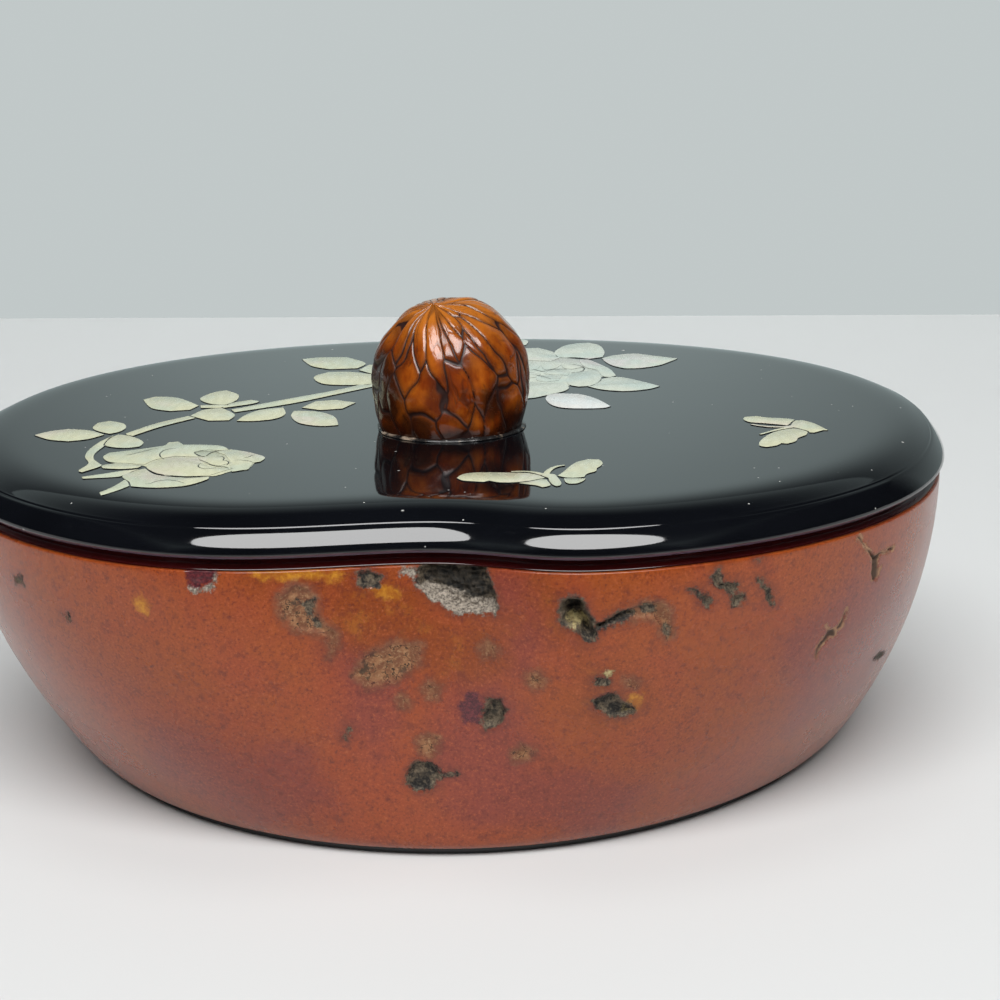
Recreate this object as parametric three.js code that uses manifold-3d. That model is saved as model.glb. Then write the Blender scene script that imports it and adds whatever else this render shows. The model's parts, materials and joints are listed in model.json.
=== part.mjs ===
// A lidded box made from a dried gourd. The gourd is lacquered red-brown and stands on a thin black foot.
// Its mouth is bound with a red lacquered rim, and its black lid is inlaid with shell and lifted by a walnut.
// Millimetres, +Z up, the front towards -Y, the origin on the table under the middle of the lid.

import * as THREE from "three";
import { mergeVertices } from "three/addons/utils/BufferGeometryUtils.js";
import Module from "manifold-3d";

const wasm = await Module();
wasm.setup();

// Heights
const FOOT_HEIGHT = 2.4;
const RIM_TOP = 64;
const LID_THICKNESS = 8.2;
const LID_TOP = RIM_TOP + LID_THICKNESS;

// Walls and fits
const GOURD_WALL = 6;
const GOURD_FLOOR = 7;
const RIM_HEIGHT = 2.4;
const RIM_LIP_DEPTH = 9;
const RIM_LIP_WALL = 1.2;
const GLUE_GAP = 0.3;
const FLANGE_DEPTH = 6;
const FLANGE_WALL = 3;
const FLANGE_CLEARANCE = 0.8;
const LID_OVERHANG = 0.8;

// Walnut knob, its peg and the bead of lacquer round its foot
const KNOB_X = 0.9;
const KNOB_Y = -17.6;
const KNOB_HEIGHT = 28.3;
const KNOB_FOOT_RADIUS = 14.6;
const KNOB_BELLY_RADIUS = 16.4;
const KNOB_RIDGES = 11;
const KNOB_RIDGE_DEPTH = 0.55;
const KNOB_TIP_LEAN = 2.6;
const PEG_RADIUS = 3;
const PEG_IN_LID = 5;
const PEG_IN_KNOB = 12;
const BEAD_WIDTH = 1.5;
const BEAD_HEIGHT = 1.3;

// Shell inlay
const SHELL_IN_LID = 0.5;
const SHELL_PROUD = 0.3;
const SHELL_GAP = 0.45;
const POCKET_GAP = 0.25;
const POCKET_GLUE = 0.05;
const FEELER_WIDTH = 1.3;

// Roundness of the loft
const AROUND = 72;
const KNOB_AROUND = 44;
const KNOB_RINGS = 16;

// The gourd's plan at the mouth, and where it turns under at the base. Each is an oval with its own squareness
// in every quarter, widest at widestY. The mouth has a dimple in front, where the gourd's stalk grew.
const MOUTH = {
  middleX: 0,
  widestY: 2.7,
  halfWidth: 109,
  front: 105.1,
  back: 96.9,
  squareness: { frontLeft: 2.23, frontRight: 2.27, backLeft: 2.16, backRight: 2.13 },
  dimple: { x: -2.3, depth: 10.9, leftSpread: 33.5, rightSpread: 18.8 },
};
const BASE = {
  middleX: 2.7,
  widestY: 19.6,
  halfWidth: 91.2,
  front: 105.6,
  back: 66.4,
  squareness: { frontLeft: 2.04, frontRight: 1.92, backLeft: 2.1, backRight: 2.1 },
};
const WALL_CURVE = 1.98;

// Finishes
const GOURD = { color: 0x94523a, roughness: 0.32, metalness: 0 };
const BLACK_LACQUER = { color: 0x0c0d10, roughness: 0.08, metalness: 0 };
const RED_LACQUER = { color: 0x5c0f0c, roughness: 0.15, metalness: 0 };
const WALNUT = { color: 0x7a3d12, roughness: 0.22, metalness: 0 };
const BEAD = { color: 0x4a4038, roughness: 0.45, metalness: 0 };
const PEG_WOOD = { color: 0xa9855a, roughness: 0.7, metalness: 0 };
const SHELL = { color: 0xe3e4d0, roughness: 0.25, metalness: 0 };

const box = new THREE.Group();

function addPiece(name, geometry, finish) {
  geometry.computeVertexNormals();
  const mesh = new THREE.Mesh(geometry, new THREE.MeshStandardMaterial(finish));
  mesh.name = name;
  box.add(mesh);
  return mesh;
}

// Booleans

function toSolid(geometry) {
  const bare = geometry.index ? geometry.toNonIndexed() : geometry.clone();
  bare.deleteAttribute("normal");
  bare.deleteAttribute("uv");
  const merged = mergeVertices(bare, 1e-4);
  const vertProperties = merged.attributes.position.array;
  const triVerts = new Uint32Array(merged.index.array);
  return new wasm.Manifold(new wasm.Mesh({ numProp: 3, vertProperties, triVerts }));
}

function toGeometry(solid) {
  const mesh = solid.getMesh();
  const geometry = new THREE.BufferGeometry();
  geometry.setAttribute("position", new THREE.BufferAttribute(mesh.vertProperties, 3));
  geometry.setIndex(new THREE.BufferAttribute(mesh.triVerts, 1));
  return geometry;
}

function largestBody(solid) {
  return solid.decompose().reduce((best, body) => (body.volume() > best.volume() ? body : best));
}

// The gourd's plan and wall

function quarterSquareness(plan, cosine, sine) {
  const { frontLeft, frontRight, backLeft, backRight } = plan.squareness;
  if (sine < 0) {
    return cosine < 0 ? frontLeft : frontRight;
  }
  return cosine < 0 ? backLeft : backRight;
}

function planPoint(plan, angle) {
  const cosine = Math.cos(angle);
  const sine = Math.sin(angle);
  const depth = sine < 0 ? plan.front : plan.back;
  const power = quarterSquareness(plan, cosine, sine);
  const reach = Math.abs(cosine / plan.halfWidth) ** power + Math.abs(sine / depth) ** power;
  const radius = reach ** (-1 / power);
  const point = new THREE.Vector2(plan.middleX + radius * cosine, plan.widestY + radius * sine);
  if (plan.dimple && sine < 0) {
    const { x, depth: dent, leftSpread, rightSpread } = plan.dimple;
    const spread = point.x < x ? leftSpread : rightSpread;
    point.y += dent * Math.exp(-(((point.x - x) / spread) ** 2));
  }
  return point;
}

function insetPoint(outline, angle, inset) {
  const step = 0.01;
  const along = outline(angle + step).sub(outline(angle - step)).normalize();
  const inward = new THREE.Vector2(-along.y, along.x);
  return outline(angle).addScaledVector(inward, inset);
}

function lidOutline(angle) {
  return planPoint(MOUTH, angle);
}

function gourdOutline(height) {
  const drop = THREE.MathUtils.clamp((RIM_TOP - height) / (RIM_TOP - FOOT_HEIGHT), 0, 1);
  const turn = drop ** WALL_CURVE;
  return (angle) => insetPoint(lidOutline, angle, LID_OVERHANG).lerp(planPoint(BASE, angle), turn);
}

function ring(outline, inset, height) {
  return Array.from({ length: AROUND }, (_, i) => {
    const point = insetPoint(outline, (2 * Math.PI * i) / AROUND, inset);
    return new THREE.Vector3(point.x, point.y, height);
  });
}

const lidRing = (inset, height) => ring(lidOutline, inset, height);
const gourdRing = (inset, height) => ring(gourdOutline(height), inset, height);
const baseRing = (inset, height) => ring((angle) => planPoint(BASE, angle), inset, height);

// Skins the rings in order. A loop joins its last ring to its first, and any other loft is closed by two caps.
function loft(rings, loop = false) {
  const count = rings[0].length;
  const positions = rings.flatMap((points) => points.flatMap((p) => [p.x, p.y, p.z]));
  const index = [];
  const bands = loop ? rings.length : rings.length - 1;
  for (let band = 0; band < bands; band += 1) {
    const low = band * count;
    const high = ((band + 1) % rings.length) * count;
    for (let i = 0; i < count; i += 1) {
      const next = (i + 1) % count;
      index.push(low + i, low + next, high + next, low + i, high + next, high + i);
    }
  }
  if (!loop) {
    capRing(positions, index, rings[0], 0, true);
    capRing(positions, index, rings.at(-1), (rings.length - 1) * count, false);
  }
  const geometry = new THREE.BufferGeometry();
  geometry.setAttribute("position", new THREE.Float32BufferAttribute(positions, 3));
  geometry.setIndex(index);
  return geometry;
}

function capRing(positions, index, points, first, facesDown) {
  const middle = points.reduce((sum, p) => sum.add(p), new THREE.Vector3()).divideScalar(points.length);
  const centre = positions.length / 3;
  positions.push(middle.x, middle.y, points[0].z);
  for (let i = 0; i < points.length; i += 1) {
    const next = (i + 1) % points.length;
    if (facesDown) {
      index.push(centre, first + next, first + i);
    } else {
      index.push(centre, first + i, first + next);
    }
  }
}

// The box below the lid

function addFoot() {
  addPiece("foot_board", loft([baseRing(1.4, 0), baseRing(0.9, 0.5), baseRing(0.9, FOOT_HEIGHT)]), BLACK_LACQUER);
}

function addGourdBowl() {
  const top = RIM_TOP - RIM_HEIGHT;
  const floor = FOOT_HEIGHT + GOURD_FLOOR;
  const outside = [
    gourdRing(3.4, FOOT_HEIGHT),
    gourdRing(1.5, FOOT_HEIGHT + 0.5),
    gourdRing(0.4, FOOT_HEIGHT + 2),
    ...[8, 16, 25, 35, 46, 56, top].map((height) => gourdRing(0, height)),
  ];
  const inside = [
    ...[top, 52, 38, 26, 19].map((height) => gourdRing(GOURD_WALL, height)),
    gourdRing(GOURD_WALL + 2.2, floor + 4),
    gourdRing(GOURD_WALL + 8, floor + 1),
    gourdRing(GOURD_WALL + 18, floor),
  ];
  addPiece("gourd_bowl", loft([...outside, ...inside]), GOURD);
}

function addRim() {
  const seat = RIM_TOP - RIM_HEIGHT;
  const lipFoot = RIM_TOP - RIM_LIP_DEPTH;
  const lipOutside = GOURD_WALL + GLUE_GAP;
  const lipInside = lipOutside + RIM_LIP_WALL;
  const section = [
    gourdRing(0.7, seat),
    gourdRing(0.8, seat + 0.4),
    gourdRing(2, seat + 1.1),
    gourdRing(2, RIM_TOP),
    gourdRing(lipInside, RIM_TOP),
    gourdRing(lipInside, lipFoot),
    gourdRing(lipOutside, lipFoot),
    gourdRing(lipOutside, seat),
  ];
  addPiece("mouth_rim", loft(section, true), RED_LACQUER);
}

// The lid

function addFlange() {
  const low = RIM_TOP - FLANGE_DEPTH;
  const gourdInset = insetAtHeight(low);
  const outside = gourdInset + GOURD_WALL + GLUE_GAP + RIM_LIP_WALL + FLANGE_CLEARANCE;
  const inside = outside + FLANGE_WALL;
  const section = [
    lidRing(outside + 0.5, low),
    lidRing(outside, low + 0.6),
    lidRing(outside, RIM_TOP),
    lidRing(inside, RIM_TOP),
    lidRing(inside, low),
  ];
  addPiece("lid_flange", loft(section, true), BLACK_LACQUER);
}

// How far the gourd's side has drawn in from the lid's edge at a height, taken where it draws in most.
function insetAtHeight(height) {
  const outline = gourdOutline(height);
  const gaps = Array.from({ length: AROUND }, (_, i) => {
    const angle = (2 * Math.PI * i) / AROUND;
    return lidOutline(angle).distanceTo(outline(angle));
  });
  return Math.max(...gaps);
}

// The lid's side, as an inset and a height above the rim: a bevelled lower edge, a side that leans in, a fine
// crease and a low crown.
const LID_SIDE = [
  [1, 0],
  [0.1, 0.9],
  [0, 1.4],
  [0.3, 2.3],
  [1.3, 3.9],
  [2.6, 5.4],
];
const LID_CROWN = [
  [3.4, 5.9],
  [6.5, 7.1],
  [10.5, 7.95],
  [15, LID_THICKNESS],
];

function makeLidBoard() {
  return toSolid(loft([...LID_SIDE, ...LID_CROWN].map(([inset, height]) => lidRing(inset, RIM_TOP + height))));
}

const lidEdge = Array.from({ length: 720 }, (_, i) => lidOutline((2 * Math.PI * i) / 720));

// How far the crown lies below the lid's flat top at a point.
function crownDrop(x, y) {
  const point = new THREE.Vector2(x, y);
  const inset = Math.min(...lidEdge.map((edge) => edge.distanceTo(point)));
  const outer = LID_CROWN.findLastIndex(([reach]) => reach <= inset);
  if (outer === LID_CROWN.length - 1) {
    return 0;
  }
  const [[near, low], [far, high]] = [LID_CROWN[Math.max(0, outer)], LID_CROWN[Math.max(0, outer) + 1]];
  return LID_THICKNESS - THREE.MathUtils.mapLinear(inset, near, far, low, high);
}

// The walnut

function knobRadius(height) {
  const up = height / KNOB_HEIGHT;
  const belly = 0.34;
  if (up < belly) {
    const below = 1 - up / belly;
    return KNOB_BELLY_RADIUS - (KNOB_BELLY_RADIUS - KNOB_FOOT_RADIUS) * below ** 2;
  }
  const above = (up - belly) / (1 - belly);
  return KNOB_BELLY_RADIUS * (1 - above ** 2.25) ** 0.62;
}

// The ridges run from the foot to the tip and wander. They fade at the point, and the two seams stand proud.
function knobRelief(angle, up) {
  const wander = 0.35 * Math.sin(5 * up + 2 * angle);
  const ridge = Math.abs(Math.sin((KNOB_RIDGES * angle) / 2 + wander)) ** 0.5;
  const seam = 1.1 * Math.exp(-((Math.sin(angle) / 0.16) ** 2));
  return (KNOB_RIDGE_DEPTH * (ridge - 1) + seam * up) * Math.min(1, 2.2 * (1 - up));
}

function knobPoint(angle, height) {
  const up = height / KNOB_HEIGHT;
  const radius = knobRadius(height) + knobRelief(angle, up);
  const lean = -KNOB_TIP_LEAN * up ** 2;
  return new THREE.Vector3(
    KNOB_X + lean + radius * Math.cos(angle),
    KNOB_Y + 0.94 * radius * Math.sin(angle),
    LID_TOP + height,
  );
}

function knobRing(height) {
  return Array.from({ length: KNOB_AROUND }, (_, i) => knobPoint((2 * Math.PI * i) / KNOB_AROUND, height));
}

function pegGeometry(radius, low, high) {
  const peg = new THREE.CylinderGeometry(radius, radius, high - low, 20);
  peg.rotateX(Math.PI / 2);
  peg.translate(KNOB_X, KNOB_Y, (low + high) / 2);
  return peg;
}

function addKnob() {
  const rings = Array.from({ length: KNOB_RINGS }, (_, i) => {
    const share = Math.sin((Math.PI / 2) * (i / KNOB_RINGS));
    return knobRing(KNOB_HEIGHT * share);
  });
  const nut = toSolid(loft(rings));
  const bore = toSolid(pegGeometry(PEG_RADIUS + GLUE_GAP, LID_TOP - 1, LID_TOP + PEG_IN_KNOB + GLUE_GAP));
  addPiece("walnut_knob", toGeometry(nut.subtract(bore)), WALNUT);
  addPiece("knob_peg", pegGeometry(PEG_RADIUS, LID_TOP - PEG_IN_LID, LID_TOP + PEG_IN_KNOB), PEG_WOOD);
}

function addBead() {
  const beadRing = (reach, height) =>
    Array.from({ length: KNOB_AROUND }, (_, i) => {
      const angle = (2 * Math.PI * i) / KNOB_AROUND;
      const lump = 1 + 0.22 * Math.sin(7 * angle) + 0.16 * Math.sin(13 * angle + 1);
      const nut = knobPoint(angle, height);
      const outward = new THREE.Vector2(nut.x - KNOB_X, nut.y - KNOB_Y).normalize();
      const out = GLUE_GAP + reach * lump;
      return new THREE.Vector3(nut.x + outward.x * out, nut.y + outward.y * out, LID_TOP + height);
    });
  const section = [
    beadRing(BEAD_WIDTH, 0),
    beadRing(0.85 * BEAD_WIDTH, 0.5 * BEAD_HEIGHT),
    beadRing(0.4 * BEAD_WIDTH, BEAD_HEIGHT),
    beadRing(0, BEAD_HEIGHT),
    beadRing(0, 0),
  ];
  addPiece("knob_bead", loft(section, true), BEAD);
}

// Shell plates, each an outline on the lid that runs anticlockwise, in the order that they are laid.
const PLATES = {
  spray_leaf_1: [
    [-74.2, -20.1], [-77.8, -15.9], [-82.9, -13.8], [-86.7, -15.9], [-89.2, -19.3], [-85.3, -23.9],
    [-80.8, -25.9], [-77, -24.1],
  ],
  spray_leaf_2: [
    [-75.6, -16.8], [-73, -19.2], [-71.3, -17.2], [-70.5, -13.6], [-71.6, -9.3], [-75, -6.2], [-77.3, -8],
    [-77.6, -13],
  ],
  spray_leaf_3: [
    [-70, -32.6], [-67.3, -33.3], [-64.9, -32.3], [-64.5, -28.9], [-65.9, -25.3], [-68.4, -22],
    [-71, -20.3], [-72.1, -23.8], [-72.3, -30.1],
  ],
  spray_leaf_4: [
    [-67.5, 7.1], [-62.9, 3.5], [-58.6, 4.5], [-57.2, 8.9], [-63, 17.8], [-68.3, 19.7], [-70.7, 16.6],
  ],
  spray_leaf_5: [
    [-54.7, 10.8], [-50.9, 9.4], [-49.1, 14.4], [-49.4, 20.5], [-52.7, 25.6], [-55.5, 23], [-57.6, 16.5],
  ],
  spray_leaf_6: [[-52.9, -7.6], [-48.6, -7.5], [-47.9, -1.7], [-51.6, 5.7], [-55.3, 3.9], [-57.6, -2.1]],
  spray_leaf_7: [
    [-42.6, -8.7], [-38.5, -6.8], [-36.6, -2.1], [-37.6, 4.8], [-42.1, 3], [-45.1, -1.9], [-46.6, -8.4],
  ],
  spray_leaf_8: [
    [-32.5, -11.8], [-27.7, -15.2], [-24, -14.5], [-25.4, -5.9], [-29.3, -0.4], [-34.7, 1.1],
    [-34.9, -4.6],
  ],
  spray_leaf_9: [[-28.9, 1.6], [-24.1, 2.8], [-21.5, 9], [-26.3, 12.4], [-30.6, 11.1], [-33.2, 4.6]],
  spray_leaf_10: [
    [-30.7, 32.2], [-25.6, 29.7], [-19.9, 30], [-16, 32], [-16.3, 38.5], [-23.6, 44.9], [-29.8, 45.8],
    [-33, 40.1],
  ],
  spray_leaf_11: [
    [-34.5, 54], [-29.8, 49.5], [-23.3, 50.1], [-21.6, 56.5], [-26.5, 64.4], [-33.2, 65], [-37.6, 63.2],
  ],
  spray_leaf_12: [[-19.4, 43], [-15.3, 42.6], [-13.1, 45.8], [-17, 53.9], [-20.5, 54.2], [-22.6, 47.6]],
  spray_stem_long: [
    [-48.1, 0.7], [-36, 9.2], [-26.7, 18.4], [-15.9, 29.7], [-16.2, 35.5], [-27, 23.5], [-37.6, 14.4],
    [-49.3, 3.7],
  ],
  spray_stem_low: [
    [-68.2, -23], [-62.8, -13.2], [-56.3, -4.8], [-57.1, -1.1], [-64.4, -9.6], [-69.7, -19.5],
  ],
  spray_twig_back: [
    [-56.4, 6.1], [-51.1, 5.7], [-44.9, 9.7], [-43.5, 12.5], [-45.6, 14.3], [-52.1, 9.5], [-56.9, 9.1],
  ],
  bud_stem: [
    [-72, -21.2], [-73.9, -27.2], [-75, -34.5], [-74.8, -41.2], [-73.1, -47.3], [-74.1, -53.2],
    [-73.2, -55], [-70.2, -49.9], [-71, -47.2], [-72.7, -43.2], [-73.2, -38], [-72.4, -31.7],
    [-71, -25.6],
  ],
  bud_petal_1: [
    [-59.7, -53.7], [-56.9, -57.7], [-51.8, -59.9], [-47, -59.5], [-43.2, -54.1], [-48, -51.6],
    [-51.2, -44.9], [-55.8, -43.6], [-59.5, -46.2], [-60.7, -50],
  ],
  bud_petal_2: [
    [-48.6, -49.4], [-45.7, -51.2], [-44.1, -49.1], [-45.6, -43.1], [-48.5, -41.6], [-50.8, -44.5],
  ],
  bud_petal_3: [
    [-68.9, -46.1], [-65.2, -47.5], [-61.3, -48.9], [-59.7, -44.7], [-56, -41.9], [-51.1, -42.9],
    [-52.5, -39.5], [-51.3, -37.3], [-48.5, -37.5], [-45.6, -36.6], [-47.4, -33.3], [-51.2, -31.9],
    [-55.7, -31.5], [-57.1, -28.4], [-59, -28.9], [-59.3, -31.9], [-63.1, -34.3], [-67.4, -36.5],
    [-70.2, -37.8], [-70.9, -41.6],
  ],
  bud_petal_4: [
    [-47.8, -38.5], [-45.5, -41.8], [-44, -48.1], [-43.4, -52.4], [-42.7, -56.7], [-39.7, -54.8],
    [-39.2, -49.1], [-37.9, -48.3], [-37.4, -44.2], [-41.2, -39.5], [-45.5, -36.4],
  ],
  bud_petal_5: [
    [-62.3, -63.8], [-61.4, -67.5], [-58.3, -68.7], [-54.5, -69], [-50.4, -67.6], [-47.2, -63.2],
    [-47, -60.9], [-51.6, -61.4], [-57.8, -58.4], [-60.8, -52.8], [-62.7, -55.1], [-64.3, -59.2],
  ],
  bud_sepal_1: [
    [-69.3, -51.7], [-65.5, -52.6], [-62.4, -51.8], [-61.9, -50.1], [-67.2, -47.3], [-70.4, -49.4],
  ],
  bud_sepal_2: [
    [-72, -60.4], [-66.4, -59.6], [-63.7, -58], [-61.2, -55.3], [-61.7, -53.3], [-65.2, -54.5],
    [-68.8, -56.8], [-72.5, -59],
  ],
  bud_sepal_3: [
    [-66.5, -72.9], [-63.8, -70.5], [-61.6, -66.5], [-63.3, -60.9], [-63.8, -63.7], [-65.1, -68.2],
    [-67, -71.3],
  ],
  bloom_heart: [
    [22.3, 38.9], [23.8, 37.8], [26.2, 37.1], [27.7, 36.5], [28.3, 41.2], [27, 44.2], [24.9, 43.7],
    [22.4, 42.2],
  ],
  bloom_inner_petal_1: [[22.4, 44.1], [24.9, 45.5], [26.5, 50.4], [25.8, 54.9], [23.6, 54.3], [21.8, 49.5]],
  bloom_inner_petal_2: [[27.1, 46.1], [28.9, 44], [31.4, 46.2], [31.2, 51.9], [29.2, 54.6], [27, 52.3]],
  bloom_inner_petal_3: [[20.3, 31.4], [22.4, 28.9], [25.3, 30.5], [26.2, 35.2], [23.2, 36.6], [20.7, 36.5]],
  bloom_inner_petal_4: [[16, 46], [17.8, 43.1], [20.6, 44.8], [21.3, 50.9], [19.2, 54.7], [16.4, 53.4]],
  bloom_inner_petal_5: [[15.9, 36.5], [17.6, 33.7], [20.2, 35], [21.4, 39.1], [18.7, 41.7], [16.2, 40.4]],
  bloom_outer_petal_1: [
    [26, 61.2], [27.5, 59], [30.7, 59], [33.7, 57], [37, 58.9], [37.8, 65.7], [37, 74.5], [34.6, 78.4],
    [31.3, 77.8], [28, 74.5], [25.5, 66.9],
  ],
  bloom_outer_petal_2: [
    [14.5, 59.4], [18, 56.9], [21.1, 55.6], [24.2, 54.9], [26.4, 59.1], [24.6, 67.8], [21.4, 72.5],
    [18.2, 72.3], [14.9, 67.1],
  ],
  bloom_outer_petal_3: [
    [31.6, 49.9], [32.9, 45.2], [35, 42.5], [36, 35.1], [37.6, 33.4], [39.1, 35.1], [38.1, 43.1],
    [35.9, 49.8], [33.4, 55.9], [31.2, 56.1],
  ],
  bloom_outer_petal_4: [
    [27.4, 30.7], [27.8, 25.2], [30, 22.8], [33, 24.1], [35, 29.3], [35.7, 35.4], [33.7, 41.6],
    [30.3, 40.3], [28, 36.1],
  ],
  bloom_outer_petal_5: [
    [13.3, 14.8], [16.7, 9.9], [19.6, 11.2], [23.2, 14.7], [26.3, 18], [27.5, 22.4], [26, 27.8],
    [22.9, 27.6], [17.6, 29.7], [13.4, 29.7],
  ],
  bloom_outer_petal_6: [
    [9.2, 39.5], [12.2, 34.5], [14.9, 37.3], [15.3, 45.3], [15.1, 53.5], [12.3, 56.7], [9.2, 52.4],
  ],
  bloom_outer_petal_7: [
    [9.2, 80.7], [11.8, 77.6], [15.7, 75.8], [18.3, 77.3], [18.9, 82.7], [16.8, 87.5], [13.1, 88.4],
    [9.2, 85.5],
  ],
  bloom_leaf_1: [
    [37.9, 51.3], [39.5, 47], [41.8, 43.9], [45.5, 44], [50.1, 46.9], [53.2, 51.5], [55.3, 55.3],
    [49.6, 59.4], [46, 62.3], [43.5, 62.4], [39.6, 60.4], [36.9, 57.1],
  ],
  bloom_leaf_2: [
    [34.6, 19.4], [37.4, 17.6], [40.9, 16.7], [45.8, 18.5], [48.6, 21.7], [44, 28.5], [40.6, 32.6],
    [38.2, 33.5], [35.9, 31.4], [34.3, 27.5], [32.1, 22.9],
  ],
  bloom_leaf_3: [
    [23.2, 2.6], [25.7, -0.7], [29.6, -1.7], [34.2, -1.6], [36.1, 0], [33.5, 8], [30.2, 13.3],
    [26.7, 14.8], [23.8, 15.3], [22.5, 13.7], [22, 8.6],
  ],
  near_butterfly_body: [
    [19.8, -65.7], [20.6, -67], [20.8, -69.6], [21.3, -72.3], [22, -73.8], [22.8, -73.3], [23.1, -71],
    [22.4, -66.2], [22, -64.2], [20.2, -63.1], [19.3, -64.7],
  ],
  near_butterfly_wing_left: [
    [3.8, -67.7], [5.7, -68.5], [7.9, -69.2], [9, -68.2], [11.1, -69.8], [13.8, -70], [16.5, -69.1],
    [18.5, -67.8], [19.8, -67], [19.5, -65], [16.6, -62.8], [13.4, -62.1], [9.5, -61.6], [6.1, -61.5],
    [3.8, -62.8], [2.7, -65.6],
  ],
  near_butterfly_wing_right: [
    [24.2, -66.7], [26, -67], [27.6, -66.6], [28.4, -63.8], [30.1, -61.9], [30.5, -59.3], [31.4, -57.1],
    [31.8, -54.6], [31.2, -52], [29.1, -51.5], [26.9, -53.7], [25.4, -57.1], [23.9, -61.9], [22.6, -65.2],
  ],
  near_butterfly_hind_wing_left: [
    [16.4, -71.7], [18.2, -72.8], [19.3, -74.3], [20.4, -73.6], [20.9, -72.3], [20.2, -68.4], [19.2, -68],
    [16.9, -69.6], [14.9, -70.7],
  ],
  near_butterfly_hind_wing_right: [
    [24, -70.6], [24.7, -71.9], [26.1, -71.7], [27.2, -70.1], [27.9, -68.1], [25.3, -67.7], [23.8, -67.6],
  ],
  far_butterfly_body: [
    [74.5, -20.2], [73.7, -23.2], [73.6, -24.7], [75.1, -26.4], [76.6, -28.8], [76.8, -30.3],
    [77.8, -30.6], [80, -28.4], [81, -28.5], [80.1, -25.3], [78.7, -20.9], [76.9, -18.3], [75.4, -18.2],
  ],
  far_butterfly_wing_left: [
    [65.4, -19], [68.4, -20.4], [71.3, -21.9], [72.9, -23], [74.2, -20.2], [75.4, -18], [74.3, -16.7],
    [72.1, -15.7], [69.8, -15.1], [67.5, -13.3], [64.9, -13.9], [64.4, -16.2],
  ],
  far_butterfly_wing_right: [
    [65.2, -42.1], [66.3, -43.2], [68.4, -42], [69.7, -39.9], [70.9, -40.4], [72.8, -38.4], [73.8, -35.2],
    [75.6, -32.8], [76.6, -29.3], [75, -26.7], [73.3, -26.4], [70.6, -28.3], [68.3, -31.4], [66.1, -36.4],
    [65.2, -39.9],
  ],
};

// A butterfly's body carries its two feelers. Each is a curve from the head, through a bend, to its tip.
const FEELERS = {
  near_butterfly_body: [
    [[19.7, -64.2], [17.5, -60.3], [13.4, -61.1]],
    [[20.3, -63.4], [21.4, -56.8], [24.2, -56.4]],
  ],
  far_butterfly_body: [
    [[74.2, -23.8], [69.6, -25.9], [65.5, -21.2]],
    [[74.1, -24.5], [70.5, -26.4], [66.3, -31.3]],
  ],
};

function ribbonOutline(from, through, to, width) {
  const line = new THREE.QuadraticBezierCurve(
    new THREE.Vector2(...from),
    new THREE.Vector2(...through),
    new THREE.Vector2(...to),
  );
  const steps = 6;
  const side = (sign) => (i) => {
    const t = i / steps;
    const along = line.getTangent(t);
    const half = (width / 2) * (1 - 0.5 * t);
    return line.getPoint(t).add(new THREE.Vector2(-along.y, along.x).multiplyScalar(sign * half));
  };
  const way = Array.from({ length: steps + 1 }, (_, i) => i);
  return [...way.map(side(-1)), ...way.reverse().map(side(1))];
}

// Moves every edge outwards by the same amount.
function growOutline(points, amount) {
  const section = new wasm.CrossSection([points.map((p) => [p.x, p.y])]);
  const [outline] = section.offset(amount, "Miter", 2).toPolygons();
  return outline.map(([x, y]) => new THREE.Vector2(x, y));
}

// A flat piece between two heights, which are given at the lid's flat top and follow its crown down.
function plate(points, low, high) {
  const geometry = new THREE.ExtrudeGeometry(new THREE.Shape(points), { depth: high - low, bevelEnabled: false });
  const position = geometry.attributes.position;
  for (let i = 0; i < position.count; i += 1) {
    const height = position.getZ(i) > (high - low) / 2 ? high : low;
    position.setZ(i, height - crownDrop(position.getX(i), position.getY(i)));
  }
  return toSolid(geometry);
}

const shellLow = LID_TOP - SHELL_IN_LID;
const shellHigh = LID_TOP + SHELL_PROUD;
const laidPlates = [];

// Lays one plate, cut back where an earlier one already lies, so that a petal passes behind its neighbour.
function layShell(name, points) {
  const outline = points.map(([x, y]) => new THREE.Vector2(x, y));
  const feelers = (FEELERS[name] ?? []).map((curve) => ribbonOutline(...curve, FEELER_WIDTH));
  const parts = [outline, ...feelers];
  let solid = parts.map((part) => plate(part, shellLow, shellHigh)).reduce((sum, part) => sum.add(part));
  for (const earlier of laidPlates) {
    solid = solid.subtract(plate(growOutline(earlier, SHELL_GAP), shellLow - 1, shellHigh + 1));
  }
  laidPlates.push(...parts);
  addPiece(name, toGeometry(largestBody(solid)), SHELL);
}

function addLid() {
  for (const [name, points] of Object.entries(PLATES)) {
    layShell(name, points);
  }
  const pocketFloor = shellLow - POCKET_GLUE;
  const pockets = laidPlates
    .flatMap((points) => [points, growOutline(points, POCKET_GAP)])
    .map((points) => plate(points, pocketFloor, LID_TOP + 1));
  const cuts = pockets.reduce((sum, pocket) => sum.add(pocket));
  const pegHole = toSolid(pegGeometry(PEG_RADIUS + GLUE_GAP, LID_TOP - PEG_IN_LID - GLUE_GAP, LID_TOP + 1));
  addPiece("lid_board", toGeometry(makeLidBoard().subtract(cuts).subtract(pegHole)), BLACK_LACQUER);
}

addFoot();
addGourdBowl();
addRim();
addFlange();
addKnob();
addBead();
addLid();

export default box;
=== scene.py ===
"""A lidded gourd box: a lacquered gourd on a black foot, with a shell-inlaid lid and a walnut knob.

Everything is in metres, with +Z up and the front of the box towards -Y.
"""

from __future__ import annotations

import json
import logging
import math
from dataclasses import dataclass
from enum import Enum
from typing import Callable, Sequence

import bmesh
import bpy
from bpy.types import Material, Node, NodeSocket, NodeTree, Object
from mathutils import Matrix, Vector, noise


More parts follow.
